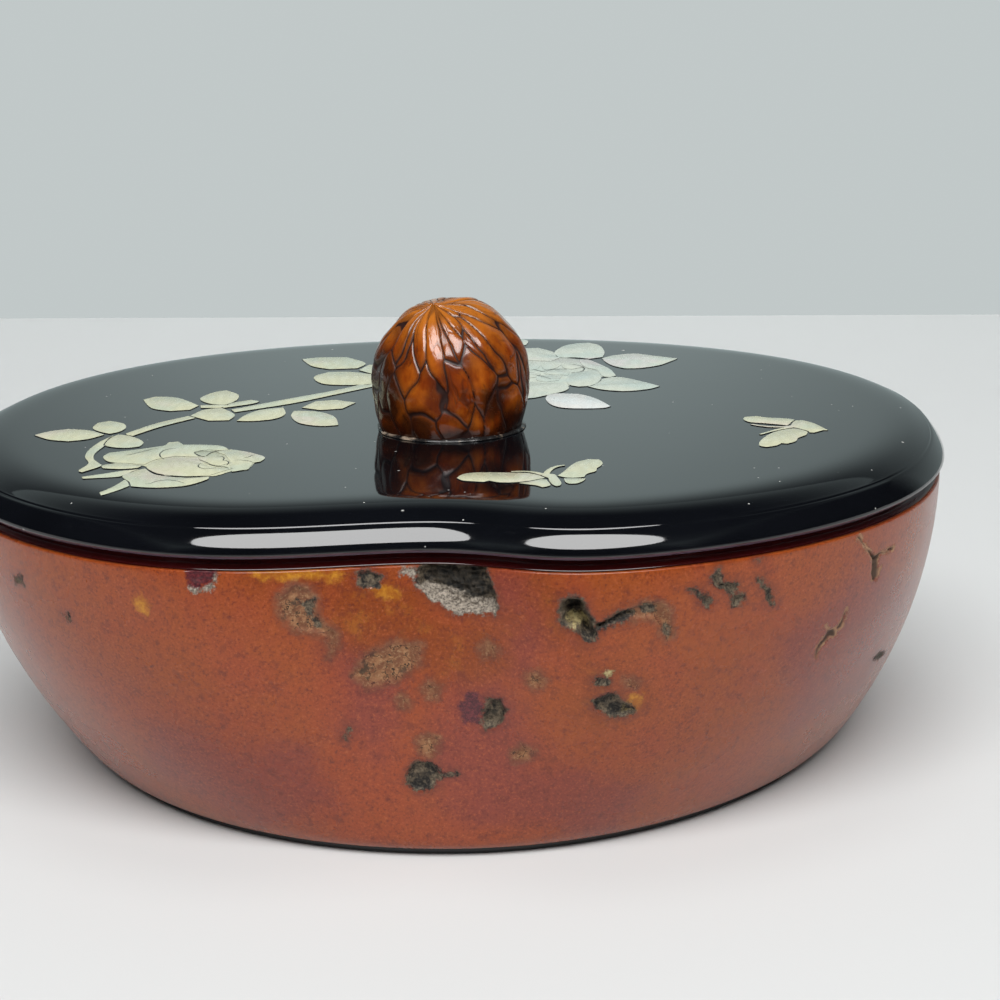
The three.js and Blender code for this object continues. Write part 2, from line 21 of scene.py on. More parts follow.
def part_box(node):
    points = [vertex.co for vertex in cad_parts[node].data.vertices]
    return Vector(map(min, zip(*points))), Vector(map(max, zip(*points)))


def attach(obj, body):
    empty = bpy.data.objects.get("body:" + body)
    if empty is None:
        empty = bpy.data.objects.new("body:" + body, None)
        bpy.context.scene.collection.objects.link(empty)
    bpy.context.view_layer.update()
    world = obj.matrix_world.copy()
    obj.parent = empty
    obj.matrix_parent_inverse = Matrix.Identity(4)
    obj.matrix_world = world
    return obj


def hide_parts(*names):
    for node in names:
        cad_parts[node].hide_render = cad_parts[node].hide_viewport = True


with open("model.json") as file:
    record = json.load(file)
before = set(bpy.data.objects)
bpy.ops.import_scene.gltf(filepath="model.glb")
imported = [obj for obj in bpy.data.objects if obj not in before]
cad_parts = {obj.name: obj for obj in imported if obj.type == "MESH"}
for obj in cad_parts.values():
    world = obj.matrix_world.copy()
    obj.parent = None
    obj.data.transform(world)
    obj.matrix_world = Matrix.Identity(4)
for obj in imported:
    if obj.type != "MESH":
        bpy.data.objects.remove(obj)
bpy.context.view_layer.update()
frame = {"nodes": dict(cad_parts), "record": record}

LOG = logging.getLogger("gourd_box")
MM = 0.001
NOISE_SEED = 7
Colour = tuple[float, float, float]
RingShape = Callable[[float], Vector]
Outline = tuple[tuple[float, float], ...]


class Ends(Enum):
    """How a loft is closed: by a face at each end, or by joining its last ring to its first."""

    CAPS = "caps"
    LOOP = "loop"


class Blemish(Enum):
    """What a mark on the gourd's skin looks like."""

    AMBER_CLOUD = "amber_cloud"
    PLUM_CLOUD = "plum_cloud"
    AMBER = "amber"
    MAROON = "maroon"
    CRAZED = "crazed"
    CHARRED = "charred"
    GRANULAR = "granular"
    TAN = "tan"
    SPLIT = "split"


# Small tools for modelling


def deselect() -> None:
    """Takes every object out of the selection."""
    bpy.ops.object.select_all(action="DESELECT")


def work_on(piece: Object) -> None:
    """Makes one object the only selected one, and the active one.

    Args:
        piece: The object to work on.
    """
    deselect()
    piece.select_set(True)
    bpy.context.view_layer.objects.active = piece


def tidy_shell(piece: Object) -> None:
    """Merges doubles and turns every face outwards.

    Args:
        piece: The mesh object to tidy.
    """
    work_on(piece)
    bpy.ops.object.mode_set(mode="EDIT")
    bpy.ops.mesh.select_all(action="SELECT")
    bpy.ops.mesh.remove_doubles(threshold=2e-6)
    bpy.ops.mesh.normals_make_consistent(inside=False)
    bpy.ops.object.mode_set(mode="OBJECT")


def apply_modifier(piece: Object, kind: str, **settings: object) -> None:
    """Adds a modifier with these settings and applies it.

    Args:
        piece: The mesh object to change.
        kind: Blender's name for the type of modifier.
        settings: Values for the modifier's own properties.
    """
    work_on(piece)
    modifier = piece.modifiers.new(kind.title(), kind)
    for key, value in settings.items():
        setattr(modifier, key, value)
    bpy.ops.object.modifier_apply(modifier=modifier.name)


def smooth(piece: Object, degrees: float = 40.0) -> None:
    """Shades a mesh smooth, and keeps edges sharper than the angle."""
    work_on(piece)
    bpy.ops.object.shade_smooth_by_angle(angle=math.radians(degrees))


def finish_piece(
    piece: Object,
    body: str,
    finishes: Sequence[Material],
    replaced: Sequence[str] = (),
) -> None:
    """Gives a piece its finishes and its body, and hides the nodes that it stands for.

    Args:
        piece: The finished mesh object.
        body: The body that it moves with.
        finishes: Its materials, in the order of its faces' material indices.
        replaced: The nodes that it stands for.
    """
    for finish in finishes:
        piece.data.materials.append(finish)
    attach(piece, body)
    if replaced:
        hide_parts(*replaced)
    LOG.info("%s: %d faces, on body %s", piece.name, len(piece.data.polygons), body)


def loft(
    name: str,
    rings: Sequence[RingShape],
    around: int,
    ends: Ends,
    levels: int,
    lining_from: float = math.inf,
) -> Object:
    """Extrudes a circle once for each ring, then shapes every level by its own outline.

    Args:
        name: The new object's name.
        rings: One function for each level, from an angle to a point.
        around: How many points a ring has.
        ends: How the loft is closed.
        levels: How often the loft is subdivided.
        lining_from: The level above which faces take the second material.

    Returns:
        The closed and rounded mesh object.
    """
    deselect()
    bpy.ops.mesh.primitive_circle_add(vertices=around, radius=1.0, fill_type="NOTHING")
    piece = bpy.context.object
    piece.name = name
    piece.data.name = name
    bpy.ops.object.mode_set(mode="EDIT")
    bpy.ops.mesh.select_all(action="SELECT")
    for _ in rings[1:]:
        bpy.ops.mesh.extrude_region_move(TRANSFORM_OT_translate={"value": (0, 0, 1)})
    bpy.ops.mesh.select_all(action="DESELECT")
    bpy.ops.mesh.select_non_manifold()
    if ends is Ends.LOOP:
        bpy.ops.mesh.bridge_edge_loops()
    else:
        bpy.ops.mesh.fill_holes(sides=0)
    bpy.ops.object.mode_set(mode="OBJECT")
    for face in piece.data.polygons:
        face.material_index = int(face.center.z > lining_from)
    for vertex in piece.data.vertices:
        angle = math.atan2(vertex.co.y, vertex.co.x)
        vertex.co = rings[round(vertex.co.z)](angle)
    tidy_shell(piece)
    apply_modifier(piece, "SUBSURF", levels=levels, render_levels=levels)
    return piece


# The gourd's plan


@dataclass(frozen=True)
class Dimple:
    """The dent in the front of the mouth, where the stalk grew."""

    x: float
    depth: float
    left_spread: float
    right_spread: float


@dataclass(frozen=True)
class Oval:
    """A plan outline, widest at widest_y, with its own squareness in each quarter."""

    middle_x: float
    widest_y: float
    half_width: float
    front: float
    back: float
    front_left: float
    front_right: float
    back_left: float
    back_right: float
    dimple: Dimple | None = None

    def squareness(self, cosine: float, sine: float) -> float:
        """The exponent in the quarter that a direction points to.

        Args:
            cosine: The direction's cosine.
            sine: The direction's sine.

        Returns:
            The exponent.
        """
        if sine < 0:
            return self.front_left if cosine < 0 else self.front_right
        return self.back_left if cosine < 0 else self.back_right

    def point(self, angle: float) -> Vector:
        """The outline's point at an angle about its middle.

        Args:
            angle: The direction, in radians from +X.

        Returns:
            The point in plan.
        """
        cosine, sine = math.cos(angle), math.sin(angle)
        depth = self.front if sine < 0 else self.back
        power = self.squareness(cosine, sine)
        reach = abs(cosine / self.half_width) ** power + abs(sine / depth) ** power
        radius = reach ** (-1 / power)
        x = self.middle_x + radius * cosine
        y = self.widest_y + radius * sine
        if self.dimple and sine < 0:
            spread = self.dimple.left_spread if x < self.dimple.x else self.dimple.right_spread
            y += self.dimple.depth * math.exp(-(((x - self.dimple.x) / spread) ** 2))
        return Vector((x, y))


MOUTH = Oval(
    middle_x=0.0,
    widest_y=2.7 * MM,
    half_width=109 * MM,
    front=105.1 * MM,
    back=96.9 * MM,
    front_left=2.23,
    front_right=2.27,
    back_left=2.16,
    back_right=2.13,
    dimple=Dimple(x=-2.3 * MM, depth=10.9 * MM, left_spread=33.5 * MM, right_spread=18.8 * MM),
)
BASE = Oval(
    middle_x=2.7 * MM,
    widest_y=19.6 * MM,
    half_width=91.2 * MM,
    front=105.6 * MM,
    back=66.4 * MM,
    front_left=2.04,
    front_right=1.92,
    back_left=2.1,
    back_right=2.1,
)
WALL_CURVE = 1.98
FOOT_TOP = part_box("foot_board")[1].z
RIM_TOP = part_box("mouth_rim")[1].z
GOURD_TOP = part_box("gourd_bowl")[1].z
LID_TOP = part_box("lid_board")[1].z
LID_OVERHANG = 0.8 * MM


def inset_point(outline: RingShape, angle: float, inset: float) -> Vector:
    """A point moved square inwards from an outline.

    Args:
        outline: The outline, from an angle to a plan point.
        angle: Where on the outline.
        inset: How far in, or out where it is negative.

    Returns:
        The point in plan.
    """
    step = 0.01
    along = (outline(angle + step) - outline(angle - step)).normalized()
    return outline(angle) + Vector((-along.y, along.x)) * inset


def gourd_outline(height: float) -> RingShape:
    """The gourd's outer plan at a height.

    Args:
        height: Where the plan is cut.

    Returns:
        The plan, from an angle to a point.
    """
    drop = min(1.0, max(0.0, (RIM_TOP - height) / (RIM_TOP - FOOT_TOP)))
    turn = drop**WALL_CURVE
    return lambda angle: inset_point(MOUTH.point, angle, LID_OVERHANG).lerp(BASE.point(angle), turn)


def level(outline: RingShape, inset: float, height: float) -> RingShape:
    """A loft's ring: an outline drawn in by an inset, at a height."""
    return lambda angle: inset_point(outline, angle, inset).to_3d() + Vector((0, 0, height))


def gourd_level(inset: float, height: float) -> RingShape:
    """A ring on the gourd's own side."""
    return level(gourd_outline(height), inset, height)


def mouth_level(inset: float, height: float) -> RingShape:
    """A ring on the lid's outline."""
    return level(MOUTH.point, inset, height)


def base_level(inset: float, height: float) -> RingShape:
    """A ring on the outline of the gourd's base."""
    return level(BASE.point, inset, height)


# Shader tools


class Shader:
    """One node tree, with short ways to add nodes and join them."""

    def __init__(self, tree: NodeTree) -> None:
        """Keeps the tree that the nodes go into."""
        self.tree = tree

    def node(
        self, kind: str, inputs: dict[str | int, object] | None = None, **settings: object
    ) -> Node:
        """Adds a node.

        Args:
            kind: The node's type, without its ShaderNode prefix.
            inputs: Values or output sockets for its inputs.
            settings: Values for the node's own properties.

        Returns:
            The new node.
        """
        made = self.tree.nodes.new("ShaderNode" + kind)
        for key, value in settings.items():
            setattr(made, key, value)
        for key, value in (inputs or {}).items():
            socket = made.inputs[key]
            if isinstance(value, NodeSocket):
                self.tree.links.new(value, socket)
            else:
                socket.default_value = value
        return made

    def math(self, operation: str, first: object, second: object = 0.0) -> NodeSocket:
        """The result of a Math node."""
        return self.node("Math", {0: first, 1: second}, operation=operation).outputs[0]

    def plus(self, first: object, second: object) -> NodeSocket:
        """The sum of two values."""
        return self.math("ADD", first, second)

    def less(self, first: object, second: object) -> NodeSocket:
        """The first value less the second."""
        return self.math("SUBTRACT", first, second)

    def times(self, first: object, second: object) -> NodeSocket:
        """The product of two values."""
        return self.math("MULTIPLY", first, second)

    def most(self, first: object, second: object) -> NodeSocket:
        """The greater of two values."""
        return self.math("MAXIMUM", first, second)

    def ramp(self, value: object, low: float, high: float) -> NodeSocket:
        """A value taken smoothly from 0 at low to 1 at high.

        Args:
            value: The value.
            low: Where it starts to rise.
            high: Where it reaches 1.

        Returns:
            The result, held between 0 and 1.
        """
        inputs = {"Value": value, "From Min": low, "From Max": high}
        made = self.node("MapRange", inputs, interpolation_type="SMOOTHSTEP", clamp=True)
        return made.outputs[0]

    def mix(self, factor: object, first: object, second: object, blend: str = "MIX") -> NodeSocket:
        """A colour between two, by a factor.

        Args:
            factor: How far towards the second colour.
            first: The colour at 0.
            second: The colour at 1.
            blend: Blender's name for the way to mix.

        Returns:
            The colour.
        """
        made = self.node("Mix", data_type="RGBA", blend_type=blend)
        for index, value in ((0, factor), (6, first), (7, second)):
            if isinstance(value, NodeSocket):
                self.tree.links.new(value, made.inputs[index])
            elif index == 0:
                made.inputs[index].default_value = value
            else:
                made.inputs[index].default_value = (*value, 1.0)
        return made.outputs[2]

    def lay(self, under: object, over: object, mask: object, share: float) -> NodeSocket:
        """A colour with another laid over it where a mask shows, at a share of its strength."""
        return self.mix(self.times(mask, share), under, over)

    def stretch(self, vector: object, factors: object) -> NodeSocket:
        """Coordinates multiplied along each axis."""
        return self.node("VectorMath", {0: vector, 1: factors}, operation="MULTIPLY").outputs[0]

    def attribute(self, name: str) -> NodeSocket:
        """A value that the mesh keeps for each of its points."""
        return self.node("Attribute", attribute_name=name).outputs["Fac"]

    def axis(self, vector: object, index: int) -> NodeSocket:
        """One of the three numbers of a vector."""
        return self.node("SeparateXYZ", {0: vector}).outputs[index]

    def noise(
        self, vector: object, scale: float, detail: float = 4.0, rough: float = 0.55
    ) -> NodeSocket:
        """A noise texture's value."""
        inputs = {"Vector": vector, "Scale": scale, "Detail": detail, "Roughness": rough}
        return self.node("TexNoise", inputs).outputs[0]

    def group(self, tree: NodeTree, inputs: dict[str, object]) -> NodeSocket:
        """The first output of a shared node group.

        Args:
            tree: The group's node tree.
            inputs: Values or output sockets for its inputs.

        Returns:
            Its output.
        """
        made = self.node("Group", node_tree=tree)
        for key, value in inputs.items():
            if isinstance(value, NodeSocket):
                self.tree.links.new(value, made.inputs[key])
            else:
                made.inputs[key].default_value = value
        return made.outputs[0]


def new_group(
    name: str, sockets: dict[str, tuple[str, object]], output: str
) -> tuple[Shader, dict[str, object]]:
    """Starts a shared node group.

    Args:
        name: The group's name.
        sockets: Each input's name, with its socket type and value.
        output: The name of its one output.

    Returns:
        The group's shader tools, and its inputs and output node by name.
    """
    tree = bpy.data.node_groups.new(name, "ShaderNodeTree")
    for key, (kind, value) in sockets.items():
        socket = tree.interface.new_socket(key, in_out="INPUT", socket_type="NodeSocket" + kind)
        if value is not None:
            socket.default_value = value
    tree.interface.new_socket(output, in_out="OUTPUT", socket_type="NodeSocketFloat")
    entry = tree.nodes.new("NodeGroupInput")
    leave = tree.nodes.new("NodeGroupOutput")
    ends: dict[str, object] = {key: entry.outputs[key] for key in sockets}
    ends["leave"] = leave.inputs[0]
    return Shader(tree), ends


def speck_group() -> NodeTree:
    """Scattered small round specks: speckled skin on the gourd, dust on the lacquer.

    Returns:
        The node group.
    """
    sockets = {"Vector": ("Vector", None), "Scale": ("Float", 500.0)}
    sockets |= {"Size": ("Float", 0.2), "Share": ("Float", 0.1)}
    shader, ends = new_group("specks", sockets, "Mask")
    cells = shader.node("TexVoronoi", {"Vector": ends["Vector"], "Scale": ends["Scale"]})
    span = {"Value": cells.outputs["Distance"], "From Min": ends["Size"], "From Max": 0.0}
    near = shader.node("MapRange", span)
    pick = shader.node("SeparateColor", {"Color": cells.outputs["Color"]})
    chosen = shader.math("LESS_THAN", pick.outputs[0], ends["Share"])
    shader.tree.links.new(shader.times(near.outputs[0], chosen), ends["leave"])
    return shader.tree


def scratch_group() -> NodeTree:
    """Long thin scratches, from a noise stretched along one way.

    Returns:
        The node group.
    """
    sockets = {"Vector": ("Vector", None), "Scale": ("Float", 40.0)}
    sockets["Stretch"] = ("Vector", (1.0, 30.0, 1.0))
    shader, ends = new_group("scratches", sockets, "Mask")
    long = shader.stretch(ends["Vector"], ends["Stretch"])
    field = shader.node("TexNoise", {"Vector": long, "Scale": ends["Scale"], "Detail": 6.0}).outputs[0]
    line = shader.ramp(field, 0.70, 0.74)
    shader.tree.links.new(line, ends["leave"])
    return shader.tree


@dataclass(frozen=True)
class Groups:
    """The node groups that several finishes share."""

    specks: NodeTree
    scratches: NodeTree


def make_groups() -> Groups:
    """Builds the shared node groups once."""
    return Groups(speck_group(), scratch_group())


def new_material(name: str) -> tuple[Material, Shader, Node, NodeSocket]:
    """Starts a material.

    Args:
        name: The material's name.

    Returns:
        The material, its shader tools, its Principled node and its Object coordinates.
    """
    material = bpy.data.materials.new(name)
    material.use_nodes = True
    shader = Shader(material.node_tree)
    principled = material.node_tree.nodes["Principled BSDF"]
    place = shader.node("TexCoord").outputs["Object"]
    return material, shader, principled, place


def join(shader: Shader, principled: Node, **sockets: NodeSocket) -> None:
    """Links sockets to a Principled node, with an underscore for each blank in an input's name."""
    for key, value in sockets.items():
        shader.tree.links.new(value, principled.inputs[key.replace("_", " ")])


def bump(
    shader: Shader, principled: Node, height: NodeSocket, depth: float, strength: float
) -> None:
    """Feeds a height through a Bump node into the normal.

    Args:
        shader: The material's tools.
        principled: The node that takes the normal.
        height: The height from 0 to 1.
        depth: How deep 1 is, in metres.
        strength: How much of the bump shows.
    """
    made = shader.node("Bump", {"Height": height, "Distance": depth, "Strength": strength})
    shader.tree.links.new(made.outputs[0], principled.inputs["Normal"])


# Marks on the gourd's skin


@dataclass(frozen=True)
class Mark:
    """A blemish on the gourd's front: its outline in x and z, seen from in front, and its depth, in mm."""

    kind: Blemish
    depth: float
    outline: Outline

    def inside(self, x: float, z: float) -> float:
        """How far a point lies inside the outline, or outside it where that is negative.

        Args:
            x: Across the front, in mm.
            z: The height, in mm.

        Returns:
            The distance to the outline, in mm.
        """
        nearest = math.inf
        within = False
        ax, az = self.outline[-1]
        for bx, bz in self.outline:
            dx, dz = bx - ax, bz - az
            share = ((x - ax) * dx + (z - az) * dz) / (dx * dx + dz * dz)
            share = min(1.0, max(0.0, share))
            nearest = min(nearest, math.hypot(x - ax - share * dx, z - az - share * dz))
            if (az > z) != (bz > z) and x < ax + (z - az) * dx / dz:
                within = not within
            ax, az = bx, bz
        return nearest if within else -nearest

    def middle(self) -> tuple[float, float]:
        """The middle of the outline."""
        count = len(self.outline)
        return sum(x for x, _ in self.outline) / count, sum(z for _, z in self.outline) / count

    def reach(self) -> float:
        """The farthest that the outline goes from its middle."""
        x, z = self.middle()
        return max(math.hypot(a - x, b - z) for a, b in self.outline)


MARKS = (
    Mark(Blemish.CHARRED, 2.6, (
        (-4.9, 58.4), (-4.1, 56.7), (-2.7, 55.3), (-0.1, 53.6), (2.6, 52.5), (6.3, 52.3), (9.6, 52.9),
        (10.2, 53.7), (10.1, 56.7), (8.4, 61), (8.2, 63.4), (0.1, 63.4), (-3.2, 62.7), (-5.2, 60.5),
    )),
    Mark(Blemish.GRANULAR, 0, (
        (-4.1, 56.6), (-2.7, 55.2), (-0.1, 53.6), (2.6, 52.4), (6.2, 52.3), (9.7, 52.9), (10.2, 54.3),
        (5.6, 54.7), (2, 56.3), (-2.1, 57.4), (-5.2, 58.1),
    )),
    Mark(Blemish.GRANULAR, 0.3, (
        (-8.1, 60.5), (-6.6, 60.3), (-5.2, 59.5), (-4.6, 60), (-5.1, 61.5), (-8, 61.4),
    )),
    Mark(Blemish.CHARRED, 4.5, (
        (21.7, 52), (22.9, 50.8), (24.4, 50.5), (25.3, 48.9), (26.5, 48.1), (27.7, 47.8), (28.8, 49.6),
        (28.2, 52.3), (27.6, 53.9), (27.2, 56), (26, 57), (23.5, 57.2), (22.1, 56.5), (21.4, 54.7),
    )),
    Mark(Blemish.TAN, 0, (
        (23.3, 51.7), (24.2, 50.6), (24.9, 51.2), (26, 51.5), (27.1, 50.3), (26.7, 51.9), (27, 52.6),
        (26.4, 52.9), (24.4, 52.7), (22.5, 53),
    )),
    Mark(Blemish.CHARRED, 1.2, (
        (28.3, 49.6), (29.9, 50.3), (32.1, 51.2), (34.2, 51.8), (36.1, 52.8), (35.8, 54.2), (33.5, 54.2),
        (31.8, 53.1), (29.6, 52.1), (27.8, 51.6),
    )),
    Mark(Blemish.CRAZED, 0.6, (
        (34.8, 51.9), (36.4, 51.7), (38.9, 51.9), (40.3, 51), (41, 49.3), (41.7, 47.5), (43, 48.3),
        (42.6, 50.9), (42.3, 53.5), (40.5, 54.8), (37.9, 55.2), (34.8, 54.4),
    )),
    Mark(Blemish.CHARRED, 0.3, ((37, 53.3), (38.8, 52.5), (39.9, 53.2), (39.3, 54.5), (36.7, 54.5))),
    Mark(Blemish.CHARRED, 0.3, ((41.5, 48.2), (42.4, 48.4), (42.1, 50.2), (41, 50.3))),
    Mark(Blemish.MAROON, 0.4, (
        (-48.3, 60), (-47.3, 57.6), (-45.4, 57.9), (-43.4, 58.7), (-42.4, 60.7), (-42.4, 62.9),
        (-48.5, 62.7),
    )),
    Mark(Blemish.GRANULAR, 0.2, (
        (-47.5, 57), (-45.6, 57.3), (-42.9, 58.3), (-42.3, 59.8), (-42.4, 60.7), (-43.4, 58.8),
        (-45.4, 58), (-47.7, 58.3),
    )),
    Mark(Blemish.CRAZED, 0.5, (
        (-31, 53.7), (-29.7, 51.5), (-28.1, 49.9), (-25.3, 49.5), (-23.3, 48.9), (-21.7, 47.1),
        (-21.5, 44.1), (-20.7, 44.9), (-20.4, 47.9), (-20.7, 49.7), (-22.6, 50.7), (-23.9, 52.5),
        (-24, 55.3), (-25, 57.3), (-27.4, 59), (-29, 58.4), (-31.1, 56.3),
    )),
    Mark(Blemish.CHARRED, 0.7, (
        (-27.6, 55.1), (-26.2, 53.5), (-24.4, 50.4), (-23.2, 50.3), (-24.8, 52.6), (-24.1, 54.2),
        (-24.3, 55.9), (-25.1, 55.3), (-26.8, 55), (-28.1, 56.3),
    )),
    Mark(Blemish.AMBER, 0, (
        (-59.1, 53.5), (-58, 52.4), (-56.7, 52.1), (-56.2, 54.3), (-57.8, 56.1), (-59.3, 55.1),
    )),
    Mark(Blemish.AMBER, 0, ((-11.9, 55.8), (-9, 54.8), (-7.6, 56.4), (-10.9, 58.3), (-14.9, 57.9))),
    Mark(Blemish.AMBER, 0, (
        (-35.2, 60.6), (-26.8, 59.9), (-19.4, 59.7), (-18.3, 60.7), (-26.8, 61.3), (-35.7, 61.8),
    )),
    Mark(Blemish.CHARRED, 0.6, (
        (-16, 58.4), (-14.2, 57.1), (-11.9, 57.7), (-11.4, 60.1), (-13.6, 61.4), (-15.9, 60.7),
    )),
    Mark(Blemish.CRAZED, 0.3, (
        (-15.2, 37.5), (-9.6, 38.5), (-5.3, 42), (-4.3, 45.7), (-9.4, 46.8), (-15.2, 43.9),
        (-17.8, 40.3),
    )),
    Mark(Blemish.CHARRED, 0.9, (
        (28.3, 34.2), (29, 33.2), (31, 32), (32.7, 31.5), (35.7, 31.3), (36.3, 32.3), (35.8, 33.5),
        (33.9, 34.9), (32, 36.8), (31, 37), (28.6, 35.9), (27.7, 35.3),
    )),
    Mark(Blemish.TAN, 0, ((33.9, 32.5), (34.6, 32.3), (34.9, 32.9), (34.2, 33.6), (33.5, 33))),
    Mark(Blemish.TAN, 0, ((30.4, 40.6), (31.4, 40.7), (32, 41.7), (30.9, 41.7), (29.7, 41))),
    Mark(Blemish.AMBER, 0, (
        (36.2, 32.5), (36.7, 32.7), (37.2, 34.5), (37.3, 36.1), (35.3, 35.9), (34.5, 34.7),
    )),
    Mark(Blemish.CHARRED, 0.4, (
        (29, 38.5), (30.8, 38.5), (31.1, 39.5), (30.5, 40.5), (29, 40.6), (28.1, 39.5),
    )),
    Mark(Blemish.CRAZED, 0.2, ((34.6, 38.3), (36.1, 37.7), (36.5, 38.7), (35.1, 39.6), (34, 39.4))),
    Mark(Blemish.CHARRED, 1.3, (
        (7.7, 28.6), (9.7, 29.3), (11.1, 31.2), (11.4, 33.1), (10.3, 35.2), (8.5, 35.2), (7.2, 33),
        (6.7, 30),
    )),
    Mark(Blemish.MAROON, 0, (
        (2.5, 31.5), (3.5, 29.4), (6.2, 30), (6.9, 33), (6.6, 35.8), (4.6, 36.6), (2.5, 33.7),
    )),
    Mark(Blemish.CHARRED, 0.8, (
        (-8.1, 16.9), (-6.6, 15.4), (-4.4, 14.9), (-2.3, 16.3), (-1.3, 18.6), (-1.8, 19.8), (-3.1, 21),
        (-5.1, 21.4), (-6.9, 20.7), (-8.3, 19.1),
    )),
    Mark(Blemish.CHARRED, 1.6, ((-4.7, 18.3), (-2.8, 18.6), (-3.4, 19.6), (-5.5, 19))),
    Mark(Blemish.CHARRED, 0.3, ((-1.2, 18.5), (2.2, 18.8), (-1.5, 19.4))),
    Mark(Blemish.CRAZED, 0.2, (
        (-4.8, 23.5), (-3.5, 21.9), (-1.9, 24), (-1.3, 26.6), (-3.4, 27.4), (-5.4, 26.5),
    )),
    Mark(Blemish.CRAZED, 0.2, ((13.1, 21.8), (15.8, 22.6), (16.8, 24.4), (14.5, 25.6), (12.7, 24))),
    Mark(Blemish.CRAZED, 0.2, ((16.4, 38.4), (18.3, 38.2), (19.2, 40), (17.3, 41.4), (15.8, 40.3))),
    Mark(Blemish.CRAZED, 0.2, ((-3.2, 34.8), (-1.6, 35.4), (-1, 37.2), (-3.1, 38.2), (-4.3, 37))),
    Mark(Blemish.CRAZED, 0.1, ((-8.3, 32.9), (-6.8, 34), (-8.2, 35.5), (-9.3, 35))),
    Mark(Blemish.CRAZED, 0.2, ((7.5, 43.9), (9.6, 44.3), (10.2, 46.2), (8.7, 47), (6.8, 45.4))),
    Mark(Blemish.CHARRED, 0.5, (
        (47, 56), (48.2, 54.9), (48.9, 53.4), (49.8, 52.7), (50.6, 54.2), (50.1, 54.9), (48.1, 56),
        (47.6, 56.8), (46.2, 56.8),
    )),
    Mark(Blemish.CHARRED, 0.7, (
        (51, 57.1), (52.6, 56.1), (53.5, 55.2), (54.9, 54.2), (54.6, 53.1), (55, 52.1), (56.5, 52.2),
        (57.3, 53), (57.1, 54.3), (55.6, 55), (55.8, 56.2), (55, 57.2), (52.7, 57.6), (52.4, 59.2),
        (52, 61), (51.4, 59.3), (50.7, 58.5),
    )),
    Mark(Blemish.CHARRED, 0.5, (
        (59.6, 56.2), (60.4, 55.6), (61.2, 54.3), (61.7, 52.3), (62.9, 51), (63.5, 51.3), (62.9, 53.2),
        (62.2, 54.9), (60.8, 56), (60.1, 57.3), (59.1, 57.1),
    )),
    Mark(Blemish.CHARRED, 0.2, ((59.9, 60.1), (60.5, 60.6), (59.4, 60.8))),
    Mark(Blemish.SPLIT, 0.9, (
        (81, 60.2), (83, 57.2), (84.6, 54.5), (85, 49.8), (86, 49.4), (86.6, 51.9), (86.3, 54.3),
        (86.8, 55), (90.3, 54.7), (90.3, 55.8), (88.1, 55.6), (85.2, 55.8), (83.2, 57.8), (81.2, 61.4),
    )),
    Mark(Blemish.SPLIT, 0.7, (
        (79.7, 45.7), (78.6, 44), (77.4, 41.8), (75.8, 42), (74.7, 43.7), (75.4, 41.3), (73.3, 39.1),
        (72.7, 35.8), (73.3, 35.6), (74, 38.4), (75.9, 39.9), (77.3, 39.6), (77.2, 40.9), (78.4, 41.4),
        (79.3, 43.5), (80.1, 45.6),
    )),
    Mark(Blemish.CHARRED, 0.3, ((90, 26.1), (91.6, 26.9), (89.9, 29), (88.3, 28.7))),
    Mark(Blemish.CHARRED, 0.2, ((-19.3, 26.4), (-18.1, 28.9), (-18.6, 29.4), (-20.1, 26.6))),
    Mark(Blemish.CHARRED, 0.2, ((-86, 51.7), (-84.3, 52.8), (-84.3, 54.1), (-86.3, 53.2))),
    Mark(Blemish.CHARRED, 0.2, ((-74.4, 47.5), (-73.6, 47.9), (-73.7, 49), (-74.8, 48.5))),
    Mark(Blemish.AMBER_CLOUD, 0, (
        (-17.9, 47.3), (-9.4, 46.8), (-1.1, 36.4), (10.5, 44.4), (11.6, 51.2), (-0.7, 50.2),
        (-6.3, 55.5), (-20.3, 58.8),
    )),
    Mark(Blemish.AMBER_CLOUD, 0, ((-34.3, 59.6), (-17.5, 57.3), (-18.3, 60.5), (-34.2, 61.6))),
    Mark(Blemish.AMBER_CLOUD, 0, ((21.8, 46.3), (29.4, 31), (37, 34.7), (24.6, 48.4), (19.2, 59.2))),
    Mark(Blemish.PLUM_CLOUD, 0, ((10.6, 47.5), (14.2, 39.6), (19, 46.2), (17.3, 60.1), (9.9, 60.3))),
    Mark(Blemish.PLUM_CLOUD, 0, (
        (-19.5, 28.6), (-13.1, 21.9), (-9.8, 34.6), (-8.5, 44.8), (-19.9, 45.3),
    )),
    Mark(Blemish.PLUM_CLOUD, 0, (
        (-1.3, 26), (4.1, 10.9), (29.7, 3.8), (37.5, 12.8), (17.9, 22.3), (10.4, 38.2), (-1, 38.5),
    )),
    Mark(Blemish.PLUM_CLOUD, 0, ((71.2, 20.4), (86.4, 19.7), (95.1, 39.8), (86.8, 51.6), (64.8, 42.9))),
    Mark(Blemish.PLUM_CLOUD, 0, (
        (-58.5, 13.9), (-40.1, 5.2), (-23.2, 12.8), (-28.6, 21.9), (-58.6, 27.6),
    )),
)

CLOUDS = (Blemish.AMBER_CLOUD, Blemish.PLUM_CLOUD)
UNDER_LACQUER = (Blemish.AMBER, Blemish.MAROON)

# How far a mark's edge fades to each side, in mm
SOFT_EDGES = {Blemish.CRAZED: 1.5, Blemish.AMBER: 0.9, Blemish.MAROON: 0.6, Blemish.SPLIT: 0.3}
PLAIN_EDGE = 0.35

# The back's own marks: the kind, the noise's scale, its value where a mark starts, and mm for each 1 beyond
SCATTERED = (
    (Blemish.PLUM_CLOUD, 17.0, 0.56, 110.0),
    (Blemish.AMBER_CLOUD, 21.0, 0.59, 110.0),
    (Blemish.CRAZED, 62.0, 0.665, 45.0),
    (Blemish.CHARRED, 95.0, 0.70, 40.0),
)


# Finishes

# A value or a colour for each kind of mark
Fields = dict[Blemish, object]


